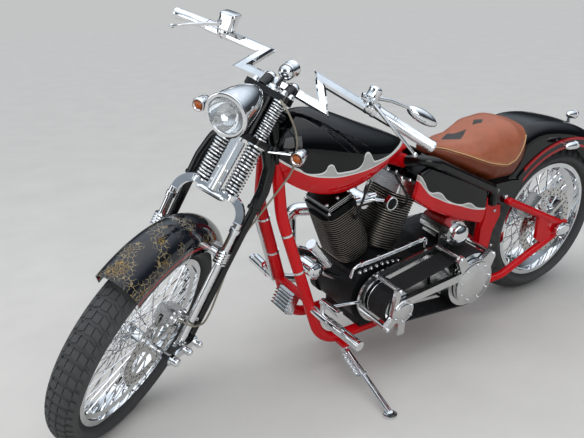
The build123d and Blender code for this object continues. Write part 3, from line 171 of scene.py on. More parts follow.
@dataclass(frozen=True)
class Finish:
    """A finish with its base values and a soft mottle that keeps any face from being one flat colour.

    mottle is how far the colour swings, mottle_mm how wide its patches are; grain_mm and grain_depth give a
    fine bump, in millimetres; slot is not used.
    """

    name: str
    colour: str
    metallic: float = 0.0
    roughness: float = 0.5
    coat: float = 0.0
    specular: float = 0.5
    mottle: float = 0.15
    mottle_mm: float = 60.0
    grain_mm: float = 2.0
    grain_depth: float = 0.0
    slot: str = "chrome"

    def build(self) -> bpy.types.Material:
        """Make the material.

        Returns:
            The material, with its nodes built.
        """
        material = bpy.data.materials.new(self.name)
        material.use_nodes = True
        shader = material.node_tree.nodes["Principled BSDF"]
        values = {
            "Base Color": linear(self.colour), "Metallic": self.metallic, "Roughness": self.roughness,
            "Coat Weight": self.coat, "Coat Roughness": 0.03,
        }
        if not self.metallic:
            values["Specular IOR Level"] = self.specular
        for name, value in values.items():
            shader.inputs[name].default_value = value
        self.dress(material.node_tree, shader)
        return material

    def place(self, tree: Tree, space: Space = Space.FLOOR) -> Node:
        """Object coordinates brought back to millimetres in one of the machine's spaces.

        Args:
            tree: The material's tree.
            space: Space whose coordinates are wanted.

        Returns:
            The mapping node.
        """
        place, turn, scale = space.matrix.inverted().decompose()
        return add_node(tree, "ShaderNodeMapping", {
            "Vector": add_node(tree, "ShaderNodeTexCoord").outputs["Object"], "Location": place,
            "Rotation": turn.to_euler(), "Scale": scale,
        })

    def split(self, tree: Tree, space: Space, plane: str) -> tuple[Node, Socket]:
        """One space's coordinates apart, and the distance from one of its axes.

        Args:
            tree: The material's tree.
            space: The space.
            plane: Letters of the two axes that the distance is measured along.

        Returns:
            The separating node and the distance's socket.
        """
        parts = add_node(tree, "ShaderNodeSeparateXYZ", {0: self.place(tree, space)})
        flat = add_node(tree, "ShaderNodeCombineXYZ", {axis: parts.outputs[axis] for axis in plane})
        return parts, add_node(tree, "ShaderNodeVectorMath", {0: flat}, operation="LENGTH").outputs["Value"]

    def edge(
        self, tree: Tree, value: Socket | Node, low: Socket | Node | float, soft: float, under: bool = False,
    ) -> Node:
        """A mask that turns from 0 to 1 as a value climbs past an edge.

        Args:
            tree: The material's tree.
            value: The value.
            low: The edge.
            soft: Width of the change.
            under: Turn from 1 to 0 instead.

        Returns:
            The mask's node.
        """
        above = add_node(tree, "ShaderNodeMath", {0: value, 1: low}, operation="SUBTRACT")
        mask = add_node(tree, "ShaderNodeMapRange", {"Value": above, "From Min": 0.0, "From Max": soft})
        return add_node(tree, "ShaderNodeMath", {0: 1.0, 1: mask}, operation="SUBTRACT") if under else mask

    def curve(self, tree: Tree, value: Socket, points: Pairs) -> Node:
        """A smooth curve through points, as a function of one coordinate.

        Args:
            tree: The material's tree.
            value: The coordinate.
            points: Pairs of coordinate and height, in millimetres.

        Returns:
            The height's node.
        """
        first, last = points[0][0], points[-1][0]
        low, high = min(p[1] for p in points), max(p[1] for p in points)
        share = add_node(tree, "ShaderNodeMapRange", {"Value": value, "From Min": first, "From Max": last})
        shape = add_node(tree, "ShaderNodeFloatCurve", {"Value": share})
        line = shape.mapping.curves[0]
        for end, (_, z) in ((0, points[0]), (1, points[-1])):
            line.points[end].location = (float(end), (z - low) / (high - low))
        for x, z in points[1:-1]:
            line.points.new((x - first) / (last - first), (z - low) / (high - low))
        shape.mapping.update()
        return add_node(tree, "ShaderNodeMapRange", {"Value": shape, "To Min": low, "To Max": high})

    def tint(self, tree: Tree) -> Socket | Colour:
        """The finish's colour before its mottle: one colour, unless a finish draws a scheme.

        Args:
            tree: The material's tree.

        Returns:
            A colour or a colour's socket.
        """
        return linear(self.colour)

    def dress(self, tree: Tree, shader: Node) -> None:
        """Vary the colour and the roughness by the mottle, and add the grain's bump.

        Args:
            tree: The material's tree.
            shader: The material's shader.
        """
        where = self.place(tree)
        noise = add_node(tree, "ShaderNodeTexNoise", {
            "Vector": where, "Scale": 1 / self.mottle_mm, "Detail": 5.0, "Roughness": 0.6,
        })
        swing = add_node(tree, "ShaderNodeMapRange", {
            "Value": noise, "From Min": 0.3, "From Max": 0.7,
            "To Min": 1 - self.mottle, "To Max": 1 + self.mottle,
        })
        tinted = add_node(tree, "ShaderNodeHueSaturation", {"Color": self.tint(tree), "Value": swing})
        rough = add_node(tree, "ShaderNodeMath", {0: swing, 1: self.roughness}, operation="MULTIPLY")
        links = {"Base Color": tinted, "Roughness": rough}
        if self.grain_depth:
            grain = add_node(tree, "ShaderNodeTexNoise", {
                "Vector": where, "Scale": 1 / self.grain_mm, "Detail": 3.0,
            })
            links["Normal"] = add_node(tree, "ShaderNodeBump", {
                "Height": grain, "Distance": self.grain_depth * MM, "Strength": 0.8,
            })
        for name, node in links.items():
            tree.links.new(node.outputs[0], shader.inputs[name])


@dataclass(frozen=True)
class WavePaint(Finish):
    """Sprayed scheme under clear coat: red below, a silver wave between thin pale lines, the base above.

    wave holds, for each place along the machine, the top of the red and the height of the silver.
    """

    wave: tuple[tuple[float, float, float], ...] = ()
    red: str = RED
    silver: str = "a9aaa6"
    low_line: str = "d9dad6"
    high_line: str = "dfe0dc"
    low_width: float = 4.0
    high_width: float = 5.0

    def tint(self, tree: Tree) -> Socket:
        """Draw the wave in the machine's own coordinates.

        Args:
            tree: The material's tree.

        Returns:
            The scheme's colour.
        """
        parts = add_node(tree, "ShaderNodeSeparateXYZ", {0: self.place(tree, Space.BIKE)})
        low = self.curve(tree, parts.outputs["X"], [(x, z) for x, z, _ in self.wave])
        high = self.curve(tree, parts.outputs["X"], [(x, z + rise) for x, z, rise in self.wave])
        outer = add_node(tree, "ShaderNodeMath", {0: low, 1: self.low_width})
        inner = add_node(tree, "ShaderNodeMath", {0: high, 1: self.high_width}, operation="SUBTRACT")
        colour: Socket | Colour = linear(self.red)
        for border, after in (
            (low, self.low_line), (outer, self.silver), (inner, self.high_line), (high, self.colour),
        ):
            mask = self.edge(tree, parts.outputs["Z"], border, 0.8)
            inputs = {0: mask, 6: colour, 7: linear(after)}
            colour = add_node(tree, "ShaderNodeMix", inputs, data_type="RGBA").outputs[2]
        return colour


@dataclass(frozen=True)
class CracklePaint(Finish):
    """Black lacquer crazed with gold, its cracks wide and pale or fine and deep, with a red line low."""

    gold: str = "9d8a66"
    pale: str = "8f6f2c"
    edge_black: str = "090a0c"
    red: str = "9c1218"
    line: float = 342.0
    line_half: float = 5.0
    rim: float = 352.0

    def tint(self, tree: Tree) -> Socket:
        """Draw the gold along the borders of warped cells and the line at one radius from the axle.

        Args:
            tree: The material's tree.

        Returns:
            The scheme's colour.
        """
        wheel = self.place(tree, Space.FRONT_WHEEL)
        drift = add_node(tree, "ShaderNodeTexNoise", {"Vector": wheel, "Scale": 1 / 9.0, "Detail": 2.0})
        bent = add_node(tree, "ShaderNodeVectorMath", {
            0: drift.outputs["Color"], 1: (7.0, 7.0, 7.0),
        }, operation="MULTIPLY")
        moved = add_node(tree, "ShaderNodeVectorMath", {0: wheel, 1: bent}, operation="ADD")
        shade = add_node(tree, "ShaderNodeTexNoise", {"Vector": wheel, "Scale": 1 / 16.0, "Detail": 3.0})
        patch = add_node(tree, "ShaderNodeTexNoise", {"Vector": wheel, "Scale": 1 / 95.0, "Detail": 1.0})
        # base colour; on the fender it carries a blue tint that is a painted sky reflection
        body: Socket | Colour = linear(self.colour)
        for size, wide, low, high, dye in (
            (14.0, 0.045, 0.47, 0.57, self.gold),
            (8.0, 0.12, 0.57, 1.0, self.pale),
        ):
            spread = {"Vector": moved, "Scale": 1 / size}
            cells = add_node(tree, "ShaderNodeTexVoronoi", spread, feature="DISTANCE_TO_EDGE")
            crack = self.edge(tree, cells, wide / 2, wide / 2, under=True)
            mask = self.edge(tree, patch, low, 0.03)
            for factor in (self.edge(tree, patch, high, 0.03, under=True), crack, shade, 1.7):
                mask = add_node(
                    tree, "ShaderNodeMath", {0: mask, 1: factor}, operation="MULTIPLY", use_clamp=True,
                )
            inputs = {0: mask, 6: body, 7: linear(dye)}
            body = add_node(tree, "ShaderNodeMix", inputs, data_type="RGBA").outputs[2]
        _, radius = self.split(tree, Space.FRONT_WHEEL, "XZ")
        colour = add_node(tree, "ShaderNodeMix", {
            0: self.edge(tree, radius, self.rim, 1.0), 6: linear(self.edge_black), 7: body,
        }, data_type="RGBA").outputs[2]
        band = {0: radius, 1: self.line, 2: self.line_half}
        near = add_node(tree, "ShaderNodeMath", band, operation="COMPARE")
        return add_node(tree, "ShaderNodeMix", {
            0: near, 6: colour, 7: linear(self.red),
        }, data_type="RGBA").outputs[2]


@dataclass(frozen=True)
class RedWithPaintedNeckShade(Finish):
    """Red gloss, with the frame black about the steering axis at its neck and high at its front, as painted
    shade.
    """

    black: str = "070809"
    neck: float = 36.0
    foot: float = 560.0
    shoulder: float = 812.0
    front: float = 1150.0

    def tint(self, tree: Tree) -> Socket:
        """Blacken, as painted shade, what lies near the steering axis up at the neck, and what lies high and
        far forward on the frame.

        Args:
            tree: The material's tree.

        Returns:
            The scheme's colour.
        """
        parts, radius = self.split(tree, Space.FORK, "XY")
        away = self.edge(tree, radius, self.neck, 1.0)
        below = add_node(tree, "ShaderNodeMath", {0: parts.outputs["Z"], 1: self.foot}, operation="LESS_THAN")
        near = add_node(tree, "ShaderNodeMath", {0: away, 1: below}, operation="MAXIMUM")
        place = add_node(tree, "ShaderNodeSeparateXYZ", {0: self.place(tree, Space.BIKE)})
        high = self.edge(tree, place.outputs["Z"], self.shoulder, 1.0)
        front = self.edge(tree, place.outputs["X"], self.front, 1.0)
        top = add_node(tree, "ShaderNodeMath", {0: high, 1: front}, operation="MULTIPLY")
        # painted shade: black near the steering axis and high at the frame's front
        mask = add_node(tree, "ShaderNodeMath", {0: near, 1: top}, operation="SUBTRACT", use_clamp=True)
        return add_node(tree, "ShaderNodeMix", {
            0: mask, 6: linear(self.black), 7: linear(self.colour),
        }, data_type="RGBA").outputs[2]


@dataclass(frozen=True)
class HeadFinish(Finish):
    """Cast covers, plain on the rear cylinder and blackened on the front one."""

    black: str = "1a1b1c"
    border: float = 905.0

    def tint(self, tree: Tree) -> Socket:
        """Blacken what stands ahead of the crankshaft.

        Args:
            tree: The material's tree.

        Returns:
            The scheme's colour.
        """
        parts = add_node(tree, "ShaderNodeSeparateXYZ", {0: self.place(tree, Space.BIKE)})
        return add_node(tree, "ShaderNodeMix", {
            0: self.edge(tree, parts.outputs["X"], self.border, 2.0),
            6: linear(self.colour), 7: linear(self.black),
        }, data_type="RGBA").outputs[2]


@dataclass(frozen=True)
class StrutPaint(Finish):
    """Black strut with red edges along the fender, as if a slot were milled between them."""

    red: str = "a51218"
    inner: float = 342.0
    outer: float = 361.0
    middle: float = 352.0
    half: float = 20.5
    plate: float = 235.0

    def tint(self, tree: Tree) -> Socket:
        """Redden both edges of the band, past the plate at the front.

        Args:
            tree: The material's tree.

        Returns:
            The scheme's colour.
        """
        parts, radius = self.split(tree, Space.REAR_WHEEL, "XZ")
        mask = add_node(tree, "ShaderNodeMath", {
            0: self.edge(tree, radius, self.outer, 0.6),
            1: self.edge(tree, radius, self.inner, 0.6, under=True),
        }, operation="MAXIMUM")
        reach = {0: radius, 1: self.middle, 2: self.half}
        band = add_node(tree, "ShaderNodeMath", reach, operation="COMPARE")
        for factor in (band, self.edge(tree, parts.outputs["X"], self.plate, 2.0, under=True)):
            mask = add_node(tree, "ShaderNodeMath", {0: mask, 1: factor}, operation="MULTIPLY")
        return add_node(tree, "ShaderNodeMix", {
            0: mask, 6: linear(self.colour), 7: linear(self.red),
        }, data_type="RGBA").outputs[2]


@dataclass(frozen=True)
class Hide(Finish):
    """Dyed leather: a pale top whose paleness is partly a painted sheen, darker sides below the seam that are
    partly painted shade, and two dark diamond inlays.

    diamonds holds each inlay's place along the machine, its half length and its half width.
    """

    side: str = "6d2f17"
    inlay: str = "26211f"
    diamonds: tuple[tuple[float, float, float], ...] = ((508.0, 62.0, 34.0), (392.0, 26.0, 20.0))

    def tint(self, tree: Tree) -> Socket:
        """Darken below the seam's line, partly as painted shade, and draw two diamond inlays on the top.

        Args:
            tree: The material's tree.

        Returns:
            The scheme's colour.
        """
        parts = add_node(tree, "ShaderNodeSeparateXYZ", {0: self.place(tree, Space.BIKE)})
        # partly painted shade and sheen: darker sides below the seam, a paler top above it
        above = self.edge(tree, parts.outputs["Z"], self.curve(tree, parts.outputs["X"], SEAM), 1.0)
        colour = add_node(tree, "ShaderNodeMix", {
            0: above, 6: linear(self.side), 7: linear(self.colour),
        }, data_type="RGBA").outputs[2]
        for centre, long, wide in self.diamonds:
            lean = add_node(tree, "ShaderNodeMath", {0: parts.outputs["X"], 1: centre}, operation="SUBTRACT")
            shares = []
            for value, size in ((lean, long), (parts.outputs["Y"], wide)):
                share = add_node(tree, "ShaderNodeMath", {0: value, 1: 1 / size}, operation="MULTIPLY")
                shares.append(add_node(tree, "ShaderNodeMath", {0: share}, operation="ABSOLUTE"))
            out = self.edge(tree, add_node(tree, "ShaderNodeMath", {0: shares[0], 1: shares[1]}), 1.0, 0.02)
            colour = add_node(tree, "ShaderNodeMix", {
                0: out, 6: linear(self.inlay), 7: colour,
            }, data_type="RGBA").outputs[2]
        return colour


@dataclass(frozen=True)
class Lens(Finish):
    """Moulded clear or tinted lens, glossy with ribs cast on its inside."""

    clear: float = 0.6
    rib_depth: float = 0.4

    def dress(self, tree: Tree, shader: Node) -> None:
        """Add the ribs and let light through.

        Args:
            tree: The material's tree.
            shader: The material's shader.
        """
        shader.inputs["Transmission Weight"].default_value = self.clear
        ribs = add_node(tree, "ShaderNodeTexWave", {
            "Vector": self.place(tree, Space.FORK), "Scale": 0.05,
        }, bands_direction="Y")
        bump = add_node(tree, "ShaderNodeBump", {
            "Height": ribs.outputs[1], "Distance": self.rib_depth * MM, "Strength": 0.5,
        })
        tree.links.new(bump.outputs[0], shader.inputs["Normal"])


# Plated steel: near-mirror, with a faint unevenness that breaks up its reflections
CHROME = Finish("chrome_plate", "e2e4e6", 1.0, 0.05, mottle=0.08, mottle_mm=35)
# Milled and polished plate: brighter than cast, with soft reflections
ALUMINIUM = Finish("machined_aluminium", "cfd0d0", 1.0, 0.2, mottle=0.06, mottle_mm=40, slot="aluminium")
# Baked crinkle coat: dark, with a soft sparkle off its wrinkles
CAST_BLACK = Finish(
    "black_crinkle_coat", "0d0e0f", 0.0, 0.5, specular=0.2, mottle=0.2, mottle_mm=20, grain_mm=1.6,
    grain_depth=0.25, slot="black_paint",
)
# Rolled and ground steel: grey, with smeared reflections
STEEL = Finish("ground_steel", "cac9c6", 1.0, 0.26, mottle=0.1, mottle_mm=22)
# Rocker covers: cast and left plain behind, black in front
HEAD_FINISH = HeadFinish(
    "rocker_covers", "b9baba", 1.0, 0.3, mottle=0.1, mottle_mm=24, grain_mm=1.5, grain_depth=0.04,
)
# Fin rims: turned bright, then dulled by heat
FIN_EDGE = Finish("turned_fin_edge", "a09a90", 1.0, 0.42, mottle=0.12, mottle_mm=30, slot="black_paint")
# Two-pack red under clear coat: deep, with sharp reflections over it; black at the neck as painted shade
RED_PAINT = RedWithPaintedNeckShade(
    "red_gloss_paint", RED, 0.0, 0.4, coat=0.6, specular=0.0, mottle=0.08, mottle_mm=70,
)
# Two-pack black under clear coat: takes its light from what it mirrors
BLACK_PAINT = Finish(
    "black_gloss_paint", "050608", 0.0, 0.3, coat=0.8, specular=0.0, mottle=0.2, mottle_mm=90,
)
# Powder coat: black with a wide satin sheen
BLACK_SATIN = Finish("black_enamel", "08090a", 0.0, 0.2, specular=0.45, mottle=0.15, mottle_mm=40)
# Two-pack black with a sprayed wave, all under one clear coat
TANK_PAINT = WavePaint(
    "tank_wave_paint", "050608", 0.0, 0.3, coat=0.8, specular=0.0, mottle=0.06, mottle_mm=90,
    wave=(
        (740.0, 800.0, 6.0), (840.0, 790.0, 9.0), (930.0, 776.0, 12.0), (975.0, 769.0, 20.0),
        (1008.0, 765.0, 58.0), (1026.0, 764.0, 34.0), (1064.0, 762.0, 15.0), (1120.0, 761.0, 17.0),
        (1146.0, 764.0, 44.0), (1160.0, 766.0, 26.0), (1190.0, 771.0, 11.0), (1240.0, 792.0, 9.0),
        (1300.0, 830.0, 8.0),
    ),
)
OIL_TANK_PAINT = WavePaint(
    "oil_tank_wave_paint", "050608", 0.0, 0.3, coat=0.8, specular=0.0, mottle=0.06, mottle_mm=90,
    wave=(
        (398.0, 486.0, 7.0), (450.0, 496.0, 9.0), (500.0, 513.0, 22.0), (540.0, 530.0, 8.0),
        (610.0, 558.0, 10.0), (660.0, 584.0, 26.0), (700.0, 606.0, 12.0), (735.0, 640.0, 22.0),
        (775.0, 690.0, 30.0),
    ),
)
# Black lacquer crazed over gold, with leopard-like cells close to; its base colour is tinted blue as a
# painted sky reflection
FENDER_PAINT = CracklePaint(
    "crackle_lacquer", "14171d", 0.0, 0.3, coat=1.0, specular=0.0, mottle=0.1, mottle_mm=40,
)
# Clear-coated black with a red edge: sharp reflections like the fender's
STRUT_PAINT = StrutPaint("strut_paint", "050608", 0.0, 0.3, coat=0.9, specular=0.0, mottle=0.1, mottle_mm=60)
# Cured rubber: dark grey, lightened all over partly for dust and partly as a painted highlight of the sunlit
# tread
TYRE = Finish(
    "tyre_rubber", "424343", 0.0, 0.75, specular=0.35, mottle=0.22, mottle_mm=30, grain_mm=1.5,
    grain_depth=0.2, slot="tyre",
)
# Moulded rubber: near-black and matt, finer in grain than the tyre
RUBBER = Finish(
    "moulded_rubber", "131314", 0.0, 0.62, specular=0.35, mottle=0.2, mottle_mm=12, grain_mm=1.0,
    grain_depth=0.1, slot="rubber",
)
# Braided steel in a smoky sleeve: tan-grey, with a dull shine
BRAID = Finish("braided_hose", "8f8878", 0.3, 0.45, mottle=0.2, mottle_mm=4, grain_mm=1.0, grain_depth=0.2)
# Dyed cow hide: grain of about 2 mm and a soft waxed shine; its pale top is partly a painted sheen and its
# darker sides partly painted shade
LEATHER = Hide(
    "tan_leather", "a05a3e", 0.0, 0.42, specular=0.4, mottle=0.14, mottle_mm=42, grain_mm=2.2,
    grain_depth=0.4, slot="leather",
)
# Waxed thread and folded welt: pale and dull
THREAD = Finish("waxed_thread", "c9a272", 0.0, 0.6, mottle=0.15, mottle_mm=6, slot="leather")
# Silvered glass: a full mirror, faintly green
MIRROR = Finish("mirror_glass", "c8d4d2", 1.0, 0.02, mottle=0.03, mottle_mm=80)
# Pressed glass and moulded acrylic: clear or tinted, with soft ribs behind the gloss
GLASS = Lens("headlight_glass", "f2f4f5", 0.0, 0.06, clear=0.9)
AMBER = Lens("amber_lens", "c9661a", 0.0, 0.12, clear=0.4)
RED_LENS = Lens("red_lens", "b0120f", 0.0, 0.12, clear=0.3)
# Smooth concrete: pale and matt
FLOOR = Finish("pale_floor", "c4c0ba", 0.0, 0.8, specular=0.2, mottle=0.04, mottle_mm=300)


def angles(count: int) -> list[float]:
    """Even angles round a full turn."""
    return [math.tau * k / count for k in range(count)]


def ring(centre: Point, across: Vector, other: Vector, count: int, power: float = 1.0) -> list[Vector]:
    """Points of an ellipse, or of a squarer loop where the power is under 1.

    Args:
        centre: Middle of the loop.
        across: One half axis.
        other: The other half axis.
        count: How many points.
        power: Power of the sine and cosine.

    Returns:
        The points, in order.
    """
    points = []
    for a in angles(count):
        c, s = (math.copysign(abs(v) ** power, v) for v in (math.cos(a), math.sin(a)))
        points.append(Vector(centre) + across * c + other * s)
    return points


def height_at(points: Pairs, x: float) -> float:
    """Height of a line through points at one place along it.

    Args:
        points: Pairs of place and height, in order.
        x: The place.

    Returns:
        The height.
    """
    for (x0, z0), (x1, z1) in zip(points, points[1:]):
        if x <= x1:
            return z0 + (z1 - z0) * (x - x0) / (x1 - x0)
    return points[-1][1]


def nut(radius: float, height: float) -> list[tuple[float, float]]:
    """Profile of a plated acorn nut: a flange, a waist and a dome.

    Args:
        radius: Radius of the flange.
        height: Height of the dome's top.

    Returns:
        Pairs of radius and height.
    """
    turns = [math.pi / 2 * k / 5 for k in range(6)]
    dome = [(0.72 * radius * math.cos(a), height * (0.45 + 0.55 * math.sin(a))) for a in turns]
    return [(0, 0), (radius, 0), (radius, 0.16 * height), (0.84 * radius, 0.2 * height)] + dome


def screw(radius: float, height: float) -> list[tuple[float, float]]:
    """Profile of a socket screw with its well.

    Args:
        radius: Radius of the head.
        height: Height of the head.

    Returns:
        Pairs of radius and height.
    """
    head, well = [(0, 0), (1, 0), (1, 0.8), (0.86, 1)], [(0.5, 1), (0.46, 0.4), (0, 0.4)]
    return [(r * radius, h * height) for r, h in head + well]


class Stock:
    """The finishes in use, each built once."""

    def __init__(self) -> None:
        """Start with none."""
        self.built: dict[str, bpy.types.Material] = {}

    def get(self, finish: Finish) -> bpy.types.Material:
        """The finish's material, built at its first use."""
        if finish.name not in self.built:
            self.built[finish.name] = finish.build()
        return self.built[finish.name]

    def dress(self, mesh: Mesh, finish: Finish) -> None:
        """Give every face of a mesh one finish.

        Args:
            mesh: The mesh.
            finish: Its finish.
        """
        if not mesh.materials:
            mesh.materials.append(None)
        for i in range(len(mesh.materials)):
            mesh.materials[i] = self.get(finish)


STOCK = Stock()


def add_object(name: str, data: bpy.types.ID) -> bpy.types.Object:
    """Add an object to the scene.

    Args:
        name: Its name.
        data: Its mesh, lamp or camera.

    Returns:
        The object.
    """
    new = bpy.data.objects.new(name, data)
    bpy.context.scene.collection.objects.link(new)
    return new


def settle(
    name: str, mesh: Mesh, space: Space, finish: Finish = CHROME, replaces: Sequence[str] = (),
    angle: float = SHARP_ANGLE, slot: str = "",
) -> bpy.types.Object:
    """Lay a mesh into the parked pose as a finished piece.

    Args:
        name: The piece's name.
        mesh: Its mesh, in millimetres.
        space: Space that the mesh is in, which gives its body.
        finish: Its finish.
        replaces: CAD nodes that it stands for.
        angle: Edges sharper than this stay sharp, in degrees.
        slot: Not used.

    Returns:
        The piece.
    """
    mesh.name = name
    mesh.transform(space.matrix)
    mesh.shade_smooth()
    mesh.set_sharp_from_angle(angle=math.radians(angle))
    STOCK.dress(mesh, finish)
    piece = add_object(name, mesh)
    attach(piece, space.body)
    if replaces:
        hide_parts(*replaces)
    LOG.info("%s: %d faces on %s", name, len(mesh.polygons), space.body)
    return piece


class Shape:
    """A mesh being built, in millimetres, in one space."""

    def __init__(self) -> None:
        """Start empty."""
        self.mesh = bmesh.new()

    def skin(self, rings: Sequence[Sequence[Point]], loop: bool = False) -> Shape:
        """Skin a run of rings that have equal counts.

        Args:
            rings: Rings of points.
            loop: Join the last ring to the first, with no caps.

        Returns:
            The shape itself.
        """
        made = [[self.mesh.verts.new(point) for point in points] for points in rings]
        for low, high in list(zip(made, made[1:])) + ([(made[-1], made[0])] if loop else []):
            for i in range(len(low)):
                j = (i + 1) % len(low)
                self.mesh.faces.new((low[i], low[j], high[j], high[i]))
        if not loop:
            self.mesh.faces.new(made[0])
            self.mesh.faces.new(made[-1])
        return self

    def tube(self, path: Sequence[Point], radius: float | Sequence[float], sides: int = 12) -> Shape:
        """Round tube along a path.

        Args:
            path: Points of the centre line.
            radius: One radius, or one for each point.
            sides: Faces around.

        Returns:
            The shape itself.
        """
        line = [Vector(point) for point in path]
        radii = [radius] * len(line) if isinstance(radius, (int, float)) else radius
        across = (line[1] - line[0]).normalized().orthogonal().normalized()
        rings = []
        for i, point in enumerate(line):
            way = (line[min(i + 1, len(line) - 1)] - line[max(i - 1, 0)]).normalized()
            across = (across - way * across.dot(way)).normalized()
            rings.append(ring(point, across * radii[i], way.cross(across) * radii[i], sides))
        return self.skin(rings)

    def turn(
        self, profile: Pairs, origin: Point, axis: Point, sides: int = 40, closed: bool = False,
    ) -> Shape:
        """Turn a profile about an axis.

        Args:
            profile: Pairs of radius and distance along the axis.
            origin: Point on the axis where the distance is nought.
            axis: Direction of the axis.
            sides: Faces around.
            closed: The profile is a closed ring that stays off the axis.

        Returns:
            The shape itself.
        """
        way = Vector(axis).normalized()
        across = way.orthogonal().normalized()
        other = way.cross(across)
        made = []
        for a in angles(sides):
            out = across * math.cos(a) + other * math.sin(a)
            made.append([self.mesh.verts.new(Vector(origin) + out * r + way * h) for r, h in profile])
        for low, high in zip(made, made[1:] + made[:1]):
            for i in range(len(profile) - (not closed)):
                j = (i + 1) % len(profile)
                self.mesh.faces.new((low[i], low[j], high[j], high[i]))
        bmesh.ops.remove_doubles(self.mesh, verts=self.mesh.verts, dist=0.001)
        return self

    def mitred(self, path: Sequence[Point], section: Pairs) -> Shape:
        """Sweep a section along straight runs that meet in sharp mitres.

        Args:
            path: Corners of the run.
            section: Pairs across the run, turned so that the second is nearest the Z axis.

        Returns:
            The shape itself.
        """
        line = [Vector(point) for point in path]
        ways = [(after - before).normalized() for before, after in zip(line, line[1:])]
        side = Vector(UP).cross(ways[0]).normalized()
        above = ways[0].cross(side)
        rings = [[line[0] + side * x + above * z for x, z in section]]
        for way, after, point in zip(ways, ways[1:] + ways[-1:], line[1:]):
            cut = (way + after).normalized()
            rings.append([corner + way * ((point - corner).dot(cut) / way.dot(cut)) for corner in rings[-1]])
        return self.skin(rings)

    def plate(self, outline: Sequence[Point], depth: Point) -> Shape:
        """Plate with a flat outline and a depth.

        Args:
            outline: Corners of one face.
            depth: Step to the other face.

        Returns:
            The shape itself.
        """
        return self.skin([[Vector(p) for p in outline], [Vector(p) + Vector(depth) for p in outline]])

    def plain(self) -> Mesh:
        """Clean the mesh and hand it over in millimetres.

        Returns:
            The mesh.
        """
        bmesh.ops.dissolve_degenerate(self.mesh, edges=self.mesh.edges, dist=0.0005)
        bmesh.ops.recalc_face_normals(self.mesh, faces=self.mesh.faces)
        mesh = bpy.data.meshes.new("draft")
        self.mesh.to_mesh(mesh)
        self.mesh.free()
        return mesh

    def piece(self, name: str, space: Space, *rest: object, **options: object) -> bpy.types.Object:
        """Finish the shape as a piece.

        Args:
            name: The piece's name.
            space: Space that the shape is in.
            *rest: What settle takes past its space, in order.
            **options: The same by name.

        Returns:
            The piece.
        """
        return settle(name, self.plain(), space, *rest, **options)


# How much wider each copy in a tapered row is than the one before it
TAPER_STEP = 0.05


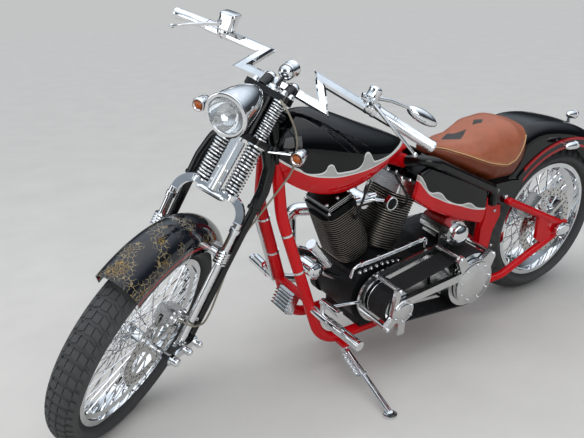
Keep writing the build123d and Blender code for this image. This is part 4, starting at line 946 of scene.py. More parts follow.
class Repeat:
    """Geometry trees with named inputs that repeat a small mesh or coil a wire, built at their first use."""

    def begin(self, name: str, **kinds: str) -> tuple[Tree, bpy.types.NodeOutputs]:
        """Start a tree with named inputs.

        Args:
            name: The tree's name.
            **kinds: Kind of socket of each input that is its own.

        Returns:
            The tree and its inputs.
        """
        tree = bpy.data.node_groups.new(name, "GeometryNodeTree")
        for label, kind in {"Geometry": "Geometry", **kinds, "Finish": "Material"}.items():
            tree.interface.new_socket(label, in_out="INPUT", socket_type=f"NodeSocket{kind}")
        tree.interface.new_socket("Geometry", in_out="OUTPUT", socket_type="NodeSocketGeometry")
        return tree, add_node(tree, "NodeGroupInput").outputs

    def end(self, tree: Tree, finish: Socket, kind: str, inputs: dict) -> Tree:
        """Close a tree with its last own node, Realize Instances and Set Material.

        Args:
            tree: The tree.
            finish: The finish's socket.
            kind: Blender's type name of the last node.
            inputs: That node's inputs.

        Returns:
            The tree.
        """
        solid = add_node(tree, "GeometryNodeRealizeInstances", {0: add_node(tree, kind, inputs)})
        dressed = add_node(tree, "GeometryNodeSetMaterial", {"Geometry": solid, "Material": finish})
        add_node(tree, "NodeGroupOutput", {0: dressed})
        return tree

    @cached_property
    def ring(self) -> Tree:
        """Tree that repeats its mesh about the Y axis.

        Returns:
            The tree.
        """
        tree, given = self.begin("ring_about_axle", Count="Int")
        points = add_node(tree, "GeometryNodePoints", {"Count": given["Count"]})
        part = add_node(tree, "ShaderNodeMath", {0: math.tau, 1: given["Count"]}, operation="DIVIDE")
        index = add_node(tree, "GeometryNodeInputIndex")
        turn = add_node(tree, "ShaderNodeMath", {0: index, 1: part}, operation="MULTIPLY")
        return self.end(tree, given["Finish"], "GeometryNodeInstanceOnPoints", {
            "Points": points, "Instance": given["Geometry"],
            "Rotation": add_node(tree, "ShaderNodeCombineXYZ", {"Y": turn}),
        })

    @cached_property
    def row(self) -> Tree:
        """Tree that repeats its mesh along a step, the first ones narrowed by the taper.

        Returns:
            The tree.
        """
        tree, given = self.begin("row_along_step", Count="Int", Step="Vector", Taper="Float")
        points = add_node(tree, "GeometryNodePoints", {"Count": given["Count"]})
        index = add_node(tree, "GeometryNodeInputIndex")
        shift = add_node(
            tree, "ShaderNodeVectorMath", {0: given["Step"], "Scale": index.outputs[0]}, operation="SCALE",
        )
        grown = add_node(tree, "ShaderNodeMath", {0: index, 1: TAPER_STEP}, operation="MULTIPLY")
        first = add_node(tree, "ShaderNodeMath", {0: 1.0, 1: given["Taper"]}, operation="SUBTRACT")
        wide = add_node(tree, "ShaderNodeMath", {0: grown, 1: first})
        capped = add_node(tree, "ShaderNodeMath", {0: wide, 1: 1.0}, operation="MINIMUM")
        return self.end(tree, given["Finish"], "GeometryNodeInstanceOnPoints", {
            "Points": add_node(tree, "GeometryNodeSetPosition", {"Geometry": points, "Offset": shift}),
            "Instance": given["Geometry"],
            "Scale": add_node(tree, "ShaderNodeCombineXYZ", {"X": capped, "Y": 1.0, "Z": 1.0}),
        })

    @cached_property
    def coil(self) -> Tree:
        """Tree that coils a wire up the Z axis.

        Returns:
            The tree.
        """
        tree, given = self.begin("coiled_wire", Turns="Float", Radius="Float", Height="Float", Wire="Float")
        spiral = add_node(tree, "GeometryNodeCurveSpiral", {
            "Resolution": 26, "Rotations": given["Turns"], "Start Radius": given["Radius"],
            "End Radius": given["Radius"], "Height": given["Height"],
        })
        wire = add_node(tree, "GeometryNodeCurvePrimitiveCircle", {"Resolution": 10, "Radius": given["Wire"]})
        return self.end(tree, given["Finish"], "GeometryNodeCurveToMesh", {
            "Curve": spiral, "Profile Curve": wire, "Fill Caps": True,
        })

    @cached_property
    def studs(self) -> Tree:
        """Tree that stands a part on each of its mesh's points, all facing one way.

        Returns:
            The tree.
        """
        tree, given = self.begin("studs_at_points", Part="Object", Facing="Vector")
        part = add_node(tree, "GeometryNodeObjectInfo", {"Object": given["Part"]})
        turn = add_node(tree, "FunctionNodeAlignRotationToVector", {"Vector": given["Facing"]}, axis="Z")
        return self.end(tree, given["Finish"], "GeometryNodeInstanceOnPoints", {
            "Points": given["Geometry"], "Instance": part.outputs["Geometry"], "Rotation": turn,
        })

    @cached_property
    def seam(self) -> Tree:
        """Tree that lays a part at even spacing along its mesh's line.

        Returns:
            The tree.
        """
        tree, given = self.begin("stitches_along_seam", Part="Object", Spacing="Float")
        line = add_node(tree, "GeometryNodeMeshToCurve", {0: given["Geometry"]})
        spaced = {"Curve": line, "Length": given["Spacing"]}
        even = add_node(tree, "GeometryNodeResampleCurve", spaced, mode="LENGTH")
        part = add_node(tree, "GeometryNodeObjectInfo", {"Object": given["Part"]})
        way = add_node(tree, "GeometryNodeInputTangent")
        return self.end(tree, given["Finish"], "GeometryNodeInstanceOnPoints", {
            "Points": even, "Instance": part.outputs["Geometry"],
            "Rotation": add_node(tree, "FunctionNodeAlignRotationToVector", {"Vector": way}, axis="X"),
        })

    def run(self, tree: Tree, mesh: Mesh, finish: Finish, part: Mesh | None = None, **values: object) -> Mesh:
        """Run a tree on a mesh and keep the result as plain faces.

        Args:
            tree: The tree.
            mesh: The mesh that it starts from.
            finish: The finish that it sets.
            part: Mesh of the tree's Part input, where it has one.
            **values: Its other named inputs.

        Returns:
            The plain mesh, in millimetres.
        """
        workers = [add_object("worker", mesh)]
        if part:
            workers.append(add_object("part", part))
            values["Part"] = workers[-1]
        modifier = workers[0].modifiers.new("tree", "NODES")
        modifier.node_group = tree
        sockets = {s.name: s.identifier for s in tree.interface.items_tree if s.in_out == "INPUT"}
        for label, value in {**values, "Finish": STOCK.get(finish)}.items():
            modifier[sockets[label]] = value
        bpy.context.view_layer.update()
        graph = bpy.context.evaluated_depsgraph_get()
        plain = bpy.data.meshes.new_from_object(workers[0].evaluated_get(graph))
        for worker in workers:
            bpy.data.objects.remove(worker)
        return plain

    def stand(
        self, name: str, space: Space, profile: Pairs, points: Sequence[Point], facing: Point,
        finish: Finish = CHROME, sides: int = 12,
    ) -> None:
        """Stand one turned profile on many points, as one piece.

        Args:
            name: The piece's name.
            space: Its space.
            profile: Pairs of radius and height.
            points: Where each stands.
            facing: Way that they all face.
            finish: Their finish.
            sides: Faces around each.
        """
        places = bpy.data.meshes.new("places")
        places.from_pydata([tuple(p) for p in points], [], [])
        part = Shape().turn(profile, ORIGIN, UP, sides).plain()
        settle(name, self.run(self.studs, places, finish, part, Facing=tuple(facing)), space, finish)

    def circle(
        self, name: str, space: Space, profile: Pairs, radius: float, count: int, turned: Matrix,
        way: int = 1, finish: Finish = CHROME,
    ) -> None:
        """Stand one turned profile at even steps round an axis across the machine, as one piece.

        Args:
            name: The piece's name.
            space: Its space.
            profile: Pairs of radius and height.
            radius: Radius of the circle.
            count: How many stand on it.
            turned: Matrix that lays the circle into place.
            way: 1 where they face left, -1 where they face right.
            finish: Their finish.
        """
        part = Shape().turn(profile, (0, 0, radius), (0, way, 0), 12).plain()
        mesh = self.run(self.ring, part, finish, Count=count)
        mesh.transform(turned)
        settle(name, mesh, space, finish)


REPEAT = Repeat()


@dataclass
class Tyre:
    """One tyre: a carcass with a moulded side wall, and a tread of blocks cut by grooves.

    rows holds, for each row of blocks, its two angles across the crown and the shares of the pitch by which
    its two sides are ahead.
    """

    name: str
    space: Space
    radius: float
    crown: float
    lip_radius: float
    lip_half: float
    pitches: int
    rows: tuple[tuple[float, float, float, float], ...]
    groove: float = 5.0
    width: float = 0.72
    shoulder: float = 58.0

    def carcass(self) -> Shape:
        """Turn the carcass, its tread sunk by the groove's depth.

        Returns:
            The carcass.
        """
        low, centre = math.radians(self.shoulder), self.radius - self.crown
        edge = (self.crown * math.sin(low), centre + self.crown * math.cos(low))
        bead = (self.lip_half - 5, self.lip_radius + 9)
        bulge = (self.crown * 1.06, (edge[1] + bead[1]) / 2 - 3)
        half = []
        for i in range(9):
            a, reach = low * i / 8, self.crown - (self.groove if i < 8 else 0)
            half.append((centre + reach * math.cos(a), reach * math.sin(a)))
        for i in range(1, 12):
            t = i / 11
            y, r = ((1 - t) ** 2 * e + 2 * t * (1 - t) * m + t * t * b for e, m, b in zip(edge, bulge, bead))
            half.append((r, y + (0.9 if i in (2, 8) else 0.0)))
        half.append((self.lip_radius - 11, bead[0]))
        return Shape().turn(half + [(r, -y) for r, y in reversed(half[1:])], ORIGIN, LEFT, 96, closed=True)

    def block(self, low: float, high: float, lead: float, trail: float) -> list[list[Point]]:
        """Rings of one tread block, its foot in the carcass.

        Args:
            low: Angle across the crown where it starts, in degrees.
            high: Angle where it ends.
            lead: Share of the pitch by which its low side is ahead.
            trail: Share of the pitch by which its high side is ahead.

        Returns:
            The rings.
        """
        rings = []
        foot = -self.groove - 1
        for t in (0, 1 / 3, 2 / 3, 1):
            across, start, points = math.radians(low + (high - low) * t), lead + (trail - lead) * t, []
            for depth, side in ((foot, 0.0), (0, 0.06), (0, self.width - 0.06), (foot, self.width)):
                r = self.radius - self.crown + (self.crown + depth) * math.cos(across)
                a = math.radians((start + side) * 360 / self.pitches)
                points.append((r * math.sin(a), (self.crown + depth) * math.sin(across), r * math.cos(a)))
            rings.append(points)
        return rings

    def build(self) -> None:
        """Make the carcass and the tread."""
        self.carcass().piece(f"{self.name}_carcass", self.space, TYRE, (self.name,))
        pitch = Shape()
        for row in self.rows:
            pitch.skin(self.block(*row))
        tread = REPEAT.run(REPEAT.ring, pitch.plain(), TYRE, Count=self.pitches)
        settle(f"{self.name}_tread", tread, self.space, TYRE)


@dataclass
class LacedWheel:
    """Hub with its two flanges, and crossed spokes with their nipples."""

    name: str
    space: Space
    hub_radius: float
    neck: float
    flange_radius: float
    flange_half: float
    half: float
    bore: float
    reach: float
    wire: float
    spokes: int = 60

    def build(self) -> None:
        """Turn the hub, and repeat one group of four spokes about the axle."""
        flange, rim = self.flange_half, self.flange_radius
        right = [
            (self.bore, self.half), (self.neck - 2, self.half), (self.neck, self.half - 2),
            (self.neck, flange + 9), (self.neck + 4, flange + 5), (rim - 1, flange + 5), (rim, flange + 4),
            (rim, flange + 1), (rim - 1, flange), (self.hub_radius + 4, flange - 2),
            (self.hub_radius, flange - 8),
        ]
        hub = Shape().turn(right + [(r, -y) for r, y in reversed(right)], ORIGIN, LEFT, 56, closed=True)
        hub.piece(f"{self.name}_hub", self.space, CHROME, (f"{self.name}_spokes",))
        group = Shape()
        for sign in (1, -1):
            for index, lead in enumerate((-1, 1)):
                base = math.tau / self.spokes * (2 * index + (sign < 0))
                foot = base + lead * math.radians(55)
                out = sign * (flange + (5.5 if lead > 0 else -0.5))
                start = Vector(((rim - 6) * math.cos(foot), out, (rim - 6) * math.sin(foot)))
                end = Vector((self.reach * math.cos(base), sign * flange * 0.2, self.reach * math.sin(base)))
                group.tube((start, end), self.wire, 6)
                group.tube((end + (start - end).normalized() * 16, end), self.wire * 1.9, 6)
        lacing = REPEAT.run(REPEAT.ring, group.plain(), CHROME, Count=self.spokes // 4)
        settle(f"{self.name}_lacing", lacing, self.space)


@dataclass
class ForkSprings:
    """Four coil springs with their guides, between the fork's bridge, yoke and clamp."""

    forward: float = 36.0
    half: float = 48.0

    def build(self) -> None:
        """Coil the lower and upper springs on both sides, each round its guide."""
        for label, low, tall, radius, wire, turns in (
            ("lower", 506.0, 154.0, 22.5, 3.3, 15.0), ("upper", 688.0, 114.0, 18.5, 2.7, 14.0),
        ):
            for side, sign in SIDES:
                foot = (self.forward, sign * self.half, low)
                none = bpy.data.meshes.new("none")
                sizes = {"Turns": turns, "Radius": radius, "Height": tall, "Wire": wire}
                coil = REPEAT.run(REPEAT.coil, none, CHROME, **sizes)
                coil.transform(Matrix.Translation(foot))
                replaced = ("fork_springs",) if (label, side) == ("lower", "left") else ()
                settle(f"{label}_spring_{side}", coil, Space.FORK, CHROME, replaced)
                inner = radius - 5
                guide = ((0, 0), (inner - 1, 0), (inner, 3), (inner, tall - 3), (inner - 1, tall), (0, tall))
                Shape().turn(guide, foot, UP, 28).piece(f"{label}_guide_{side}", Space.FORK, RUBBER)


def evaluated(worker: bpy.types.Object) -> bpy.types.Object:
    """The object as its modifiers leave it."""
    return worker.evaluated_get(bpy.context.evaluated_depsgraph_get())


@dataclass
class SeatPad:
    """Leather saddle: a stuffed pad swollen by cloth simulation, with a welted seam and two rows of stitches.

    stations holds, from the nose back, a place along the machine, the pad's foot, its widest height, its half
    width and its top.
    """

    stations: tuple[tuple[float, float, float, float, float], ...] = (
        (664, 733, 747, 27, 761), (580, 686, 714, 88, 747), (480, 634, 690, 124, 751),
        (395, 594, 690, 137, 790), (300, 590, 702, 138, 801), (204, 628, 716, 98, 774),
    )
    voxel: float = 5.0
    pressure: float = 4.0
    cap: float = 7.0
    frames: int = 20

    def blank(self) -> Mesh:
        """Skin the pad over its stations, a little under its finished size.

        Returns:
            The blank, in millimetres.
        """
        rings = []
        for x, low, belly, half, high in self.stations:
            points = []
            for a in angles(36):
                c, s = math.cos(a), math.sin(a)
                flat, steep, lift = (0.7, 0.85, high - belly) if s >= 0 else (0.42, 0.55, belly - low)
                y, z = half * math.copysign(abs(c) ** flat, c), lift * math.copysign(abs(s) ** steep, s)
                points.append((x, y, belly + z))
            rings.append(points)
        return Shape().skin(rings).plain()

    def swell(self, mesh: Mesh) -> Mesh:
        """Remesh the blank and blow it up as cloth, no point going further than the cap.

        Args:
            mesh: The blank, in millimetres.

        Returns:
            The stuffed pad, in millimetres.
        """
        mesh.transform(Matrix.Scale(MM, 4))
        worker = add_object("seat_worker", mesh)
        remesh = worker.modifiers.new("voxels", "REMESH")
        remesh.mode, remesh.voxel_size = "VOXEL", self.voxel * MM
        body = bpy.data.meshes.new_from_object(evaluated(worker))
        worker.modifiers.clear()
        worker.data = body
        rest = [v.co.copy() for v in body.vertices]
        cloth = worker.modifiers.new("cloth", "CLOTH")
        cloth.settings.use_pressure = True
        cloth.settings.uniform_pressure_force = self.pressure
        cloth.settings.effector_weights.gravity = 0.0
        cloth.point_cache.frame_start, cloth.point_cache.frame_end = 1, self.frames
        for step in range(1, self.frames + 1):
            bpy.context.scene.frame_set(step)
        swollen = evaluated(worker).data
        for vertex, after, before in zip(body.vertices, swollen.vertices, rest):
            move = after.co - before
            vertex.co = before + move * min(1.0, self.cap * MM / max(move.length, 1e-9))
        worker.modifiers.clear()
        bpy.context.scene.frame_set(1)
        smooth = worker.modifiers.new("smooth", "SMOOTH")
        smooth.factor, smooth.iterations = 0.5, 6
        done = bpy.data.meshes.new_from_object(evaluated(worker))
        bpy.data.objects.remove(worker)
        done.transform(Matrix.Scale(1 / MM, 4))
        return done

    def seam_line(self, surface: BVHTree, drop: float, proud: float) -> list[Vector]:
        """Points along the seam on both sides and round the back, each on the pad's skin.

        Args:
            surface: The pad's skin.
            drop: How far below the seam's own line.
            proud: How far the line stands off the skin.

        Returns:
            The points, from the left of the nose to its right.
        """
        line = []
        for sign in (1, -1):
            half = []
            for x in (640.0 - 8.6 * i for i in range(50)):
                start = Vector((x, sign * 300.0, height_at(SEAM, x) - drop))
                hit, normal, _, _ = surface.ray_cast(start, Vector((0, -sign, 0)))
                if hit:
                    half.append(hit + normal * proud)
            line += half if sign > 0 else reversed(half)
        return line

    def build(self) -> None:
        """Make the pad, its welt and its stitches."""
        mesh = self.swell(self.blank())
        surface = BVHTree.FromPolygons([v.co for v in mesh.vertices], [p.vertices for p in mesh.polygons])
        pad = settle("seat_pad", mesh, Space.BIKE, LEATHER, ("seat",), 180)
        Shape().tube(self.seam_line(surface, 0.0, 0.6), 2.1, 8).piece("seat_welt", Space.BIKE, THREAD)
        stitch = Shape().tube(((-2.0, 0, 0), (-1.2, 0, 0.5), (1.2, 0, 0.5), (2.0, 0, 0)), 0.55, 5).plain()
        for label, drop in (("upper", -7.0), ("lower", 7.0)):
            points = self.seam_line(surface, drop, 0.3)
            line = bpy.data.meshes.new("line")
            line.from_pydata([tuple(p) for p in points], [(i, i + 1) for i in range(len(points) - 1)], [])
            sewn = REPEAT.run(REPEAT.seam, line, THREAD, stitch.copy(), Spacing=6.5)
            settle(f"seat_stitches_{label}", sewn, Space.BIKE, THREAD)


@dataclass
class FinnedCylinders:
    """Two air-cooled barrels at a narrow angle, with thin fins whose rims are machined bright."""

    deck: float = 140.0
    top: float = 352.0
    bore: float = 50.0
    first: float = 153.0
    pitch: float = 8.7
    count: int = 23
    thick: float = 3.0
    wide: float = 70.0
    deep: float = 73.0
    corner: float = 44.0

    def outline(self, grow: float, z: float) -> list[Point]:
        """Rounded corners of one fin.

        Args:
            grow: How far out past the fin's own size.
            z: Its height.

        Returns:
            The outline's points.
        """
        points = []
        for quarter, (sx, sy) in enumerate(((1, 1), (-1, 1), (-1, -1), (1, -1))):
            for a in (math.pi / 2 * (quarter + k / 6) for k in range(7)):
                points.append((
                    sx * (self.wide - self.corner) + (self.corner + grow) * math.cos(a),
                    sy * (self.deep - self.corner) + (self.corner + grow) * math.sin(a), z,
                ))
        return points

    def build(self) -> None:
        """Make the barrels, the fins with their bright rims, and what stands on the heads."""
        rim = ((-0.5, 0.5), (0.5, 0.5), (0.5, self.thick - 0.5), (-0.5, self.thick - 0.5))
        barrel = ((0, self.deck), (self.bore, self.deck), (self.bore, self.top), (0, self.top))
        for label, space in (("front", Space.FRONT_CYLINDER), ("rear", Space.REAR_CYLINDER)):
            replaced = ("cylinders",) if label == "front" else ()
            Shape().turn(barrel, ORIGIN, UP, 48).piece(f"{label}_barrel", space, CAST_BLACK, replaced)
            fin = Shape().skin([self.outline(0, 0), self.outline(0, self.thick)])
            edge = Shape().skin([self.outline(grow, z) for grow, z in rim], loop=True)
            outline = ((-50, -69.5, 0), (50, -69.5, 0), (50, -69.5, 2.4), (-50, -69.5, 2.4))
            rib = Shape().plate(outline, (0, 139, 0))
            for part, shape, finish, first, count, pitch, taper in (
                ("fins", fin, CAST_BLACK, self.first, self.count, self.pitch, 0.18),
                ("fin_rims", edge, FIN_EDGE, self.first, self.count, self.pitch, 0.18),
                ("rocker_ribs", rib, ALUMINIUM, self.top + 30, 3, 7.0, 0.0),
            ):
                step = (0.0, 0.0, pitch)
                rows = REPEAT.run(REPEAT.row, shape.plain(), finish, Count=count, Step=step, Taper=taper)
                rows.transform(Matrix.Translation((0, 0, first)))
                settle(f"{label}_{part}", rows, space, finish)
            corners = [(x, y, self.top + 52) for x in (44, -44, 0) for y in (58, -58)]
            REPEAT.stand(f"{label}_rocker_screws", space, screw(6.5, 7), corners, UP, sides=14)
            low = [(x, y, self.top + 26) for x in (53, -53) for y in (71, -71)]
            REPEAT.stand(f"{label}_head_nuts", space, nut(5.5, 9), low, UP)


@dataclass
class HeadLamp:
    """Chrome teardrop shell with a stepped rim, a reflector, a bulb shield and a domed glass."""

    centre: tuple[float, float, float] = (241.0, 0.0, 699.0)
    axis: tuple[float, float, float] = (0.81, 0.0, -0.59)

    def build(self) -> None:
        """Turn the shell, the shield and the glass."""
        Shape().turn((
            (0, -172), (9, -170), (20, -162), (32, -145), (42, -122), (50, -94), (56, -62), (59.5, -32),
            (60.5, -9), (60.5, -6), (63, -5), (64.5, -1), (63.5, 3), (60, 5), (54, 4), (52, 1), (51, -4),
            (44, -20), (32, -34), (16, -43), (0, -46),
        ), self.centre, self.axis, 64).piece("headlight_shell", Space.FORK, CHROME, ("headlight",), 40)
        shield = ((0, -46), (5, -46), (5, -26), (11, -24), (11, -14), (8, -8), (0, -6))
        Shape().turn(shield, self.centre, self.axis, 32).piece("headlight_shield", Space.FORK)
        Shape().turn((
            (0, 9), (16, 8.4), (30, 6.6), (42, 3.8), (51, 0), (51, -2), (42, 1.8), (30, 4.6), (16, 6.4),
            (0, 7),
        ), self.centre, self.axis, 64).piece("headlight_lens", Space.FORK, GLASS)


@dataclass
class BulletLamp:
    """Small bullet lamp: a turned shell, a bezel and a coloured dome."""

    name: str
    space: Space
    back: tuple[float, float, float]
    front: tuple[float, float, float]
    radius: float
    lens: Finish
    replaced: tuple[str, ...] = ()

    def build(self) -> None:
        """Turn the shell and the lens, their profiles in shares of the radius and the length."""
        way = Vector(self.front) - Vector(self.back)
        for part, sides, finish, replaced, angle, shares in (
            ("shell", 40, CHROME, self.replaced, 40, (
                (0, -0.18), (0.36, -0.13), (0.7, 0.02), (0.93, 0.28), (1, 0.6), (1, 0.78), (1.07, 0.8),
                (1.07, 0.93), (0.98, 1), (0.88, 1), (0.84, 0.96), (0.6, 0.9), (0, 0.86),
            )),
            ("lens", 32, self.lens, (), SHARP_ANGLE, (
                (0, 1.1), (0.2, 1.09), (0.4, 1.05), (0.58, 0.97), (0.58, 0.92), (0, 0.92),
            )),
        ):
            profile = [(self.radius * r, way.length * h) for r, h in shares]
            lamp = Shape().turn(profile, self.back, way, sides)
            lamp.piece(f"{self.name}_{part}", self.space, finish, replaced, angle)


@dataclass
class LampSet:
    """All four signals, their stalks and the tail light."""

    def build(self) -> None:
        """Place the lamps at the fork's yoke, on the fender struts and at the tail."""
        for side, sign in SIDES:
            first = sign > 0
            BulletLamp(
                f"front_signal_{side}", Space.FORK, (-14, sign * 170, 712), (30, sign * 170, 683), 21, AMBER,
                ("front_signals",) if first else (),
            ).build()
            BulletLamp(
                f"rear_signal_{side}", Space.BIKE, (60, sign * 161.3, 692), (2, sign * 161.3, 690), 15,
                RED_LENS, ("rear_lights",) if first else (),
            ).build()
            Shape().skin([
                [(-10, sign * 84, 680), (24, sign * 84, 662), (24, sign * 84, 666), (-10, sign * 84, 684)],
                [(2, sign * 154, 699), (14, sign * 154, 690), (14, sign * 154, 694), (2, sign * 154, 703)],
            ]).piece(f"front_stalk_{side}", Space.FORK)
            neck = ((30, sign * 125.5, 686), (30, sign * 140, 688), (30, sign * 152, 690))
            Shape().tube(neck, (8, 6, 6), 16).piece(f"rear_stalk_{side}", Space.BIKE)
        BulletLamp("tail_light", Space.BIKE, (-140, 0, 745), (-190, 0, 739), 17, RED_LENS).build()
        post = ((-150, 0, 673), (-150, 0, 700), (-152, 0, 735))
        Shape().tube(post, (11, 8, 8), 16).piece("tail_post", Space.BIKE)


@dataclass
class ZBars:
    """Handlebar of square tube with bevelled faces, mitred sharp at its corners."""

    centre: tuple[float, float, float] = (-46.0, 0.0, 856.0)
    low: tuple[float, float, float] = (-69.0, 144.0, 851.0)
    high: tuple[float, float, float] = (-62.0, 95.0, 923.0)
    end: tuple[float, float, float] = (-182.0, 475.0, 912.0)
    share: float = 0.62
    flat: float = 14.2
    bevel: float = 8.0

    def build(self) -> None:
        """Sweep each side from the clamp out to its grip."""
        start = Vector(self.high).lerp(Vector(self.end), self.share)
        f, b = self.flat, self.bevel
        section = [(-f, -b), (-b, -f), (b, -f), (f, -b), (f, b), (b, f), (-b, f), (-f, b)]
        for side, sign in SIDES:
            corners = [(p[0], sign * p[1], p[2]) for p in (self.centre, self.low, self.high, start)]
            replaced = ("handlebar",) if sign > 0 else ()
            Shape().mitred(corners, section).piece(f"handlebar_{side}", Space.FORK, CHROME, replaced, 25)


@dataclass
class BarControls:
    """Grip, perch, lever and reservoir of each bar end, shaped as on the left and mirrored for the right."""

    high: tuple[float, float, float] = (-54.0, 63.0, 936.0)
    end: tuple[float, float, float] = (-182.0, 475.0, 912.0)
    grip_share: float = 0.65
    perch_share: float = 0.48

    def grip(self, start: Vector, along: Vector, reach: float) -> Shape:
        """Fluted grip with a collar at each end.

        Args:
            start: Where it starts.
            along: Way that it runs.
            reach: Its length.

        Returns:
            The grip.
        """
        across = along.orthogonal().normalized()
        other = along.cross(across)
        rings = []
        for at, size, deep in (
            (0, 19, 0), (6, 19, 0), (8, 17.6, 0.9), (reach - 16, 17.6, 0.9), (reach - 13, 18.6, 0),
            (reach - 4, 18.6, 0), (reach, 15, 0),
        ):
            rings.append([
                start + along * at + (across * math.cos(a) + other * math.sin(a)) * (size - deep * (k % 2))
                for k, a in enumerate(angles(40))
            ])
        return Shape().skin(rings)

    def lever(self, perch: Vector, along: Vector) -> Shape:
        """Bowed lever that ends in a ball.

        Args:
            perch: The perch's middle.
            along: Way that the bar runs.

        Returns:
            The lever.
        """
        rings = []
        for t in (k / 12 for k in range(13)):
            bow = Vector((52 - 10 * t + 12 * math.sin(math.pi * t), 0, 10 - 60 * t))
            across, thick = Vector((10.0 - 2.5 * t, 0, 0)), Vector((0, 0, 6.4 - 1.4 * t))
            rings.append(ring(perch + along * (4 + 182 * t) + bow, across, thick, 12))
        ball = [(8.5 * math.sin(a), -8.5 * math.cos(a)) for a in (math.pi * k / 8 for k in range(9))]
        return Shape().skin(rings).turn(ball, perch + along * 188 + Vector((42, 0, -51)), LEFT, 20)

    def reservoir(self, perch: Vector, along: Vector, round_pot: bool) -> Shape:
        """Round pot of the left side, or the larger square one of the right.

        Args:
            perch: The perch's middle.
            along: Way that the bar runs.
            round_pot: Make the round one.

        Returns:
            The pot.
        """
        if round_pot:
            profile = ((0, 0), (15, 0), (19, 4), (19.5, 26), (21, 28), (21, 34), (18, 38), (6, 41), (0, 41))
            return Shape().turn(profile, perch + Vector((36, -8, 17)), (-0.14, 0.0, 1.0), 36)
        seat, up, ahead = perch + Vector((32, -10, 2)), Vector((0.42, 0.0, 0.91)), Vector((0.91, 0.0, -0.42))
        return Shape().skin([
            ring(seat + up * height, along * (32 + grow), ahead * (24 + grow), 40, 0.4) for height, grow in
            ((0, -8), (5, -2), (34, 0), (44, 0), (45, 2), (52, 2), (56, 0), (58, -5), (59, -14))
        ])

    def build(self) -> None:
        """Make both ends."""
        high, run = Vector(self.high), Vector(self.end) - Vector(self.high)
        along, perch = run.normalized(), high + run * self.perch_share
        start, sleeve = high + run * self.grip_share, run.length * 0.17 - 2
        for label, sign in SIDES:
            half = ((21.5, 4), (24, 6), (24, 16), (21, 20), (16, 20))
            clamp = Shape().turn([(r, -h) for r, h in half[::-1]] + list(half), perch, along, 36, closed=True)
            clamp.turn(((14, 22), (18.4, 22), (18.4, sleeve), (14, sleeve)), perch, along, 32, closed=True)
            arm = [perch + Vector(step) for step in ((12, 0, 6), (30, -2, 10), (48, 4, 14), (58, 14, 15))]
            for name, shape in (
                ("grip", self.grip(start, along, run.length * (1 - self.grip_share))), ("perch_clamp", clamp),
                ("perch_arm", Shape().tube(arm, (12, 13, 12, 9), 12)), ("lever", self.lever(perch, along)),
                ("reservoir", self.reservoir(perch, along, sign > 0)),
            ):
                for vertex in shape.mesh.verts:
                    vertex.co.y *= sign
                replaced, slot = ((f"{label}_bar_controls",), "rubber") if name == "grip" else ((), "")
                shape.piece(f"{name}_{label}", Space.FORK, CHROME, replaced, 40, slot)
            pins = [perch + Vector(step) for step in ((54, 6, 17), (22, -16, 14), (22, 14, 14))]
            spots = [(p.x, sign * p.y, p.z) for p in pins]
            REPEAT.stand(f"perch_bolts_{label}", Space.FORK, nut(6, 8), spots, UP)


@dataclass
class BarMirror:
    """Oval mirror on a bent stem."""

    stem: tuple[tuple[float, float, float], ...] = (
        (-102.6, 219.6, 944.9), (-150.0, 300.0, 975.0), (-215.0, 352.0, 988.0), (-222.0, 380.0, 986.0),
    )
    centre: tuple[float, float, float] = (-230.0, 392.0, 985.0)
    long: float = 56.0
    tall: float = 21.0

    def build(self) -> None:
        """Make the stem, the shell and the glass."""
        Shape().tube(self.stem, (8, 6, 5, 5), 14).piece("mirror_stem", Space.FORK, CHROME, ("mirror",))
        across = Vector((-45, 95, -2)).normalized()
        face = Vector((-0.9037, -0.428, 0.0))
        up = face.cross(across)
        for name, finish, slices in (
            ("mirror_shell", CHROME, (
                (-15, 0.25), (-13, 0.6), (-8, 0.86), (0, 0.99), (5, 1.0), (7, 0.95), (5, 0.9),
            )),
            ("mirror_face", MIRROR, ((5, 0.9), (6.2, 0.9))),
        ):
            Shape().skin([
                ring(Vector(self.centre) + face * reach, across * self.long * size, up * self.tall * size, 40)
                for reach, size in slices
            ]).piece(name, Space.FORK, finish)


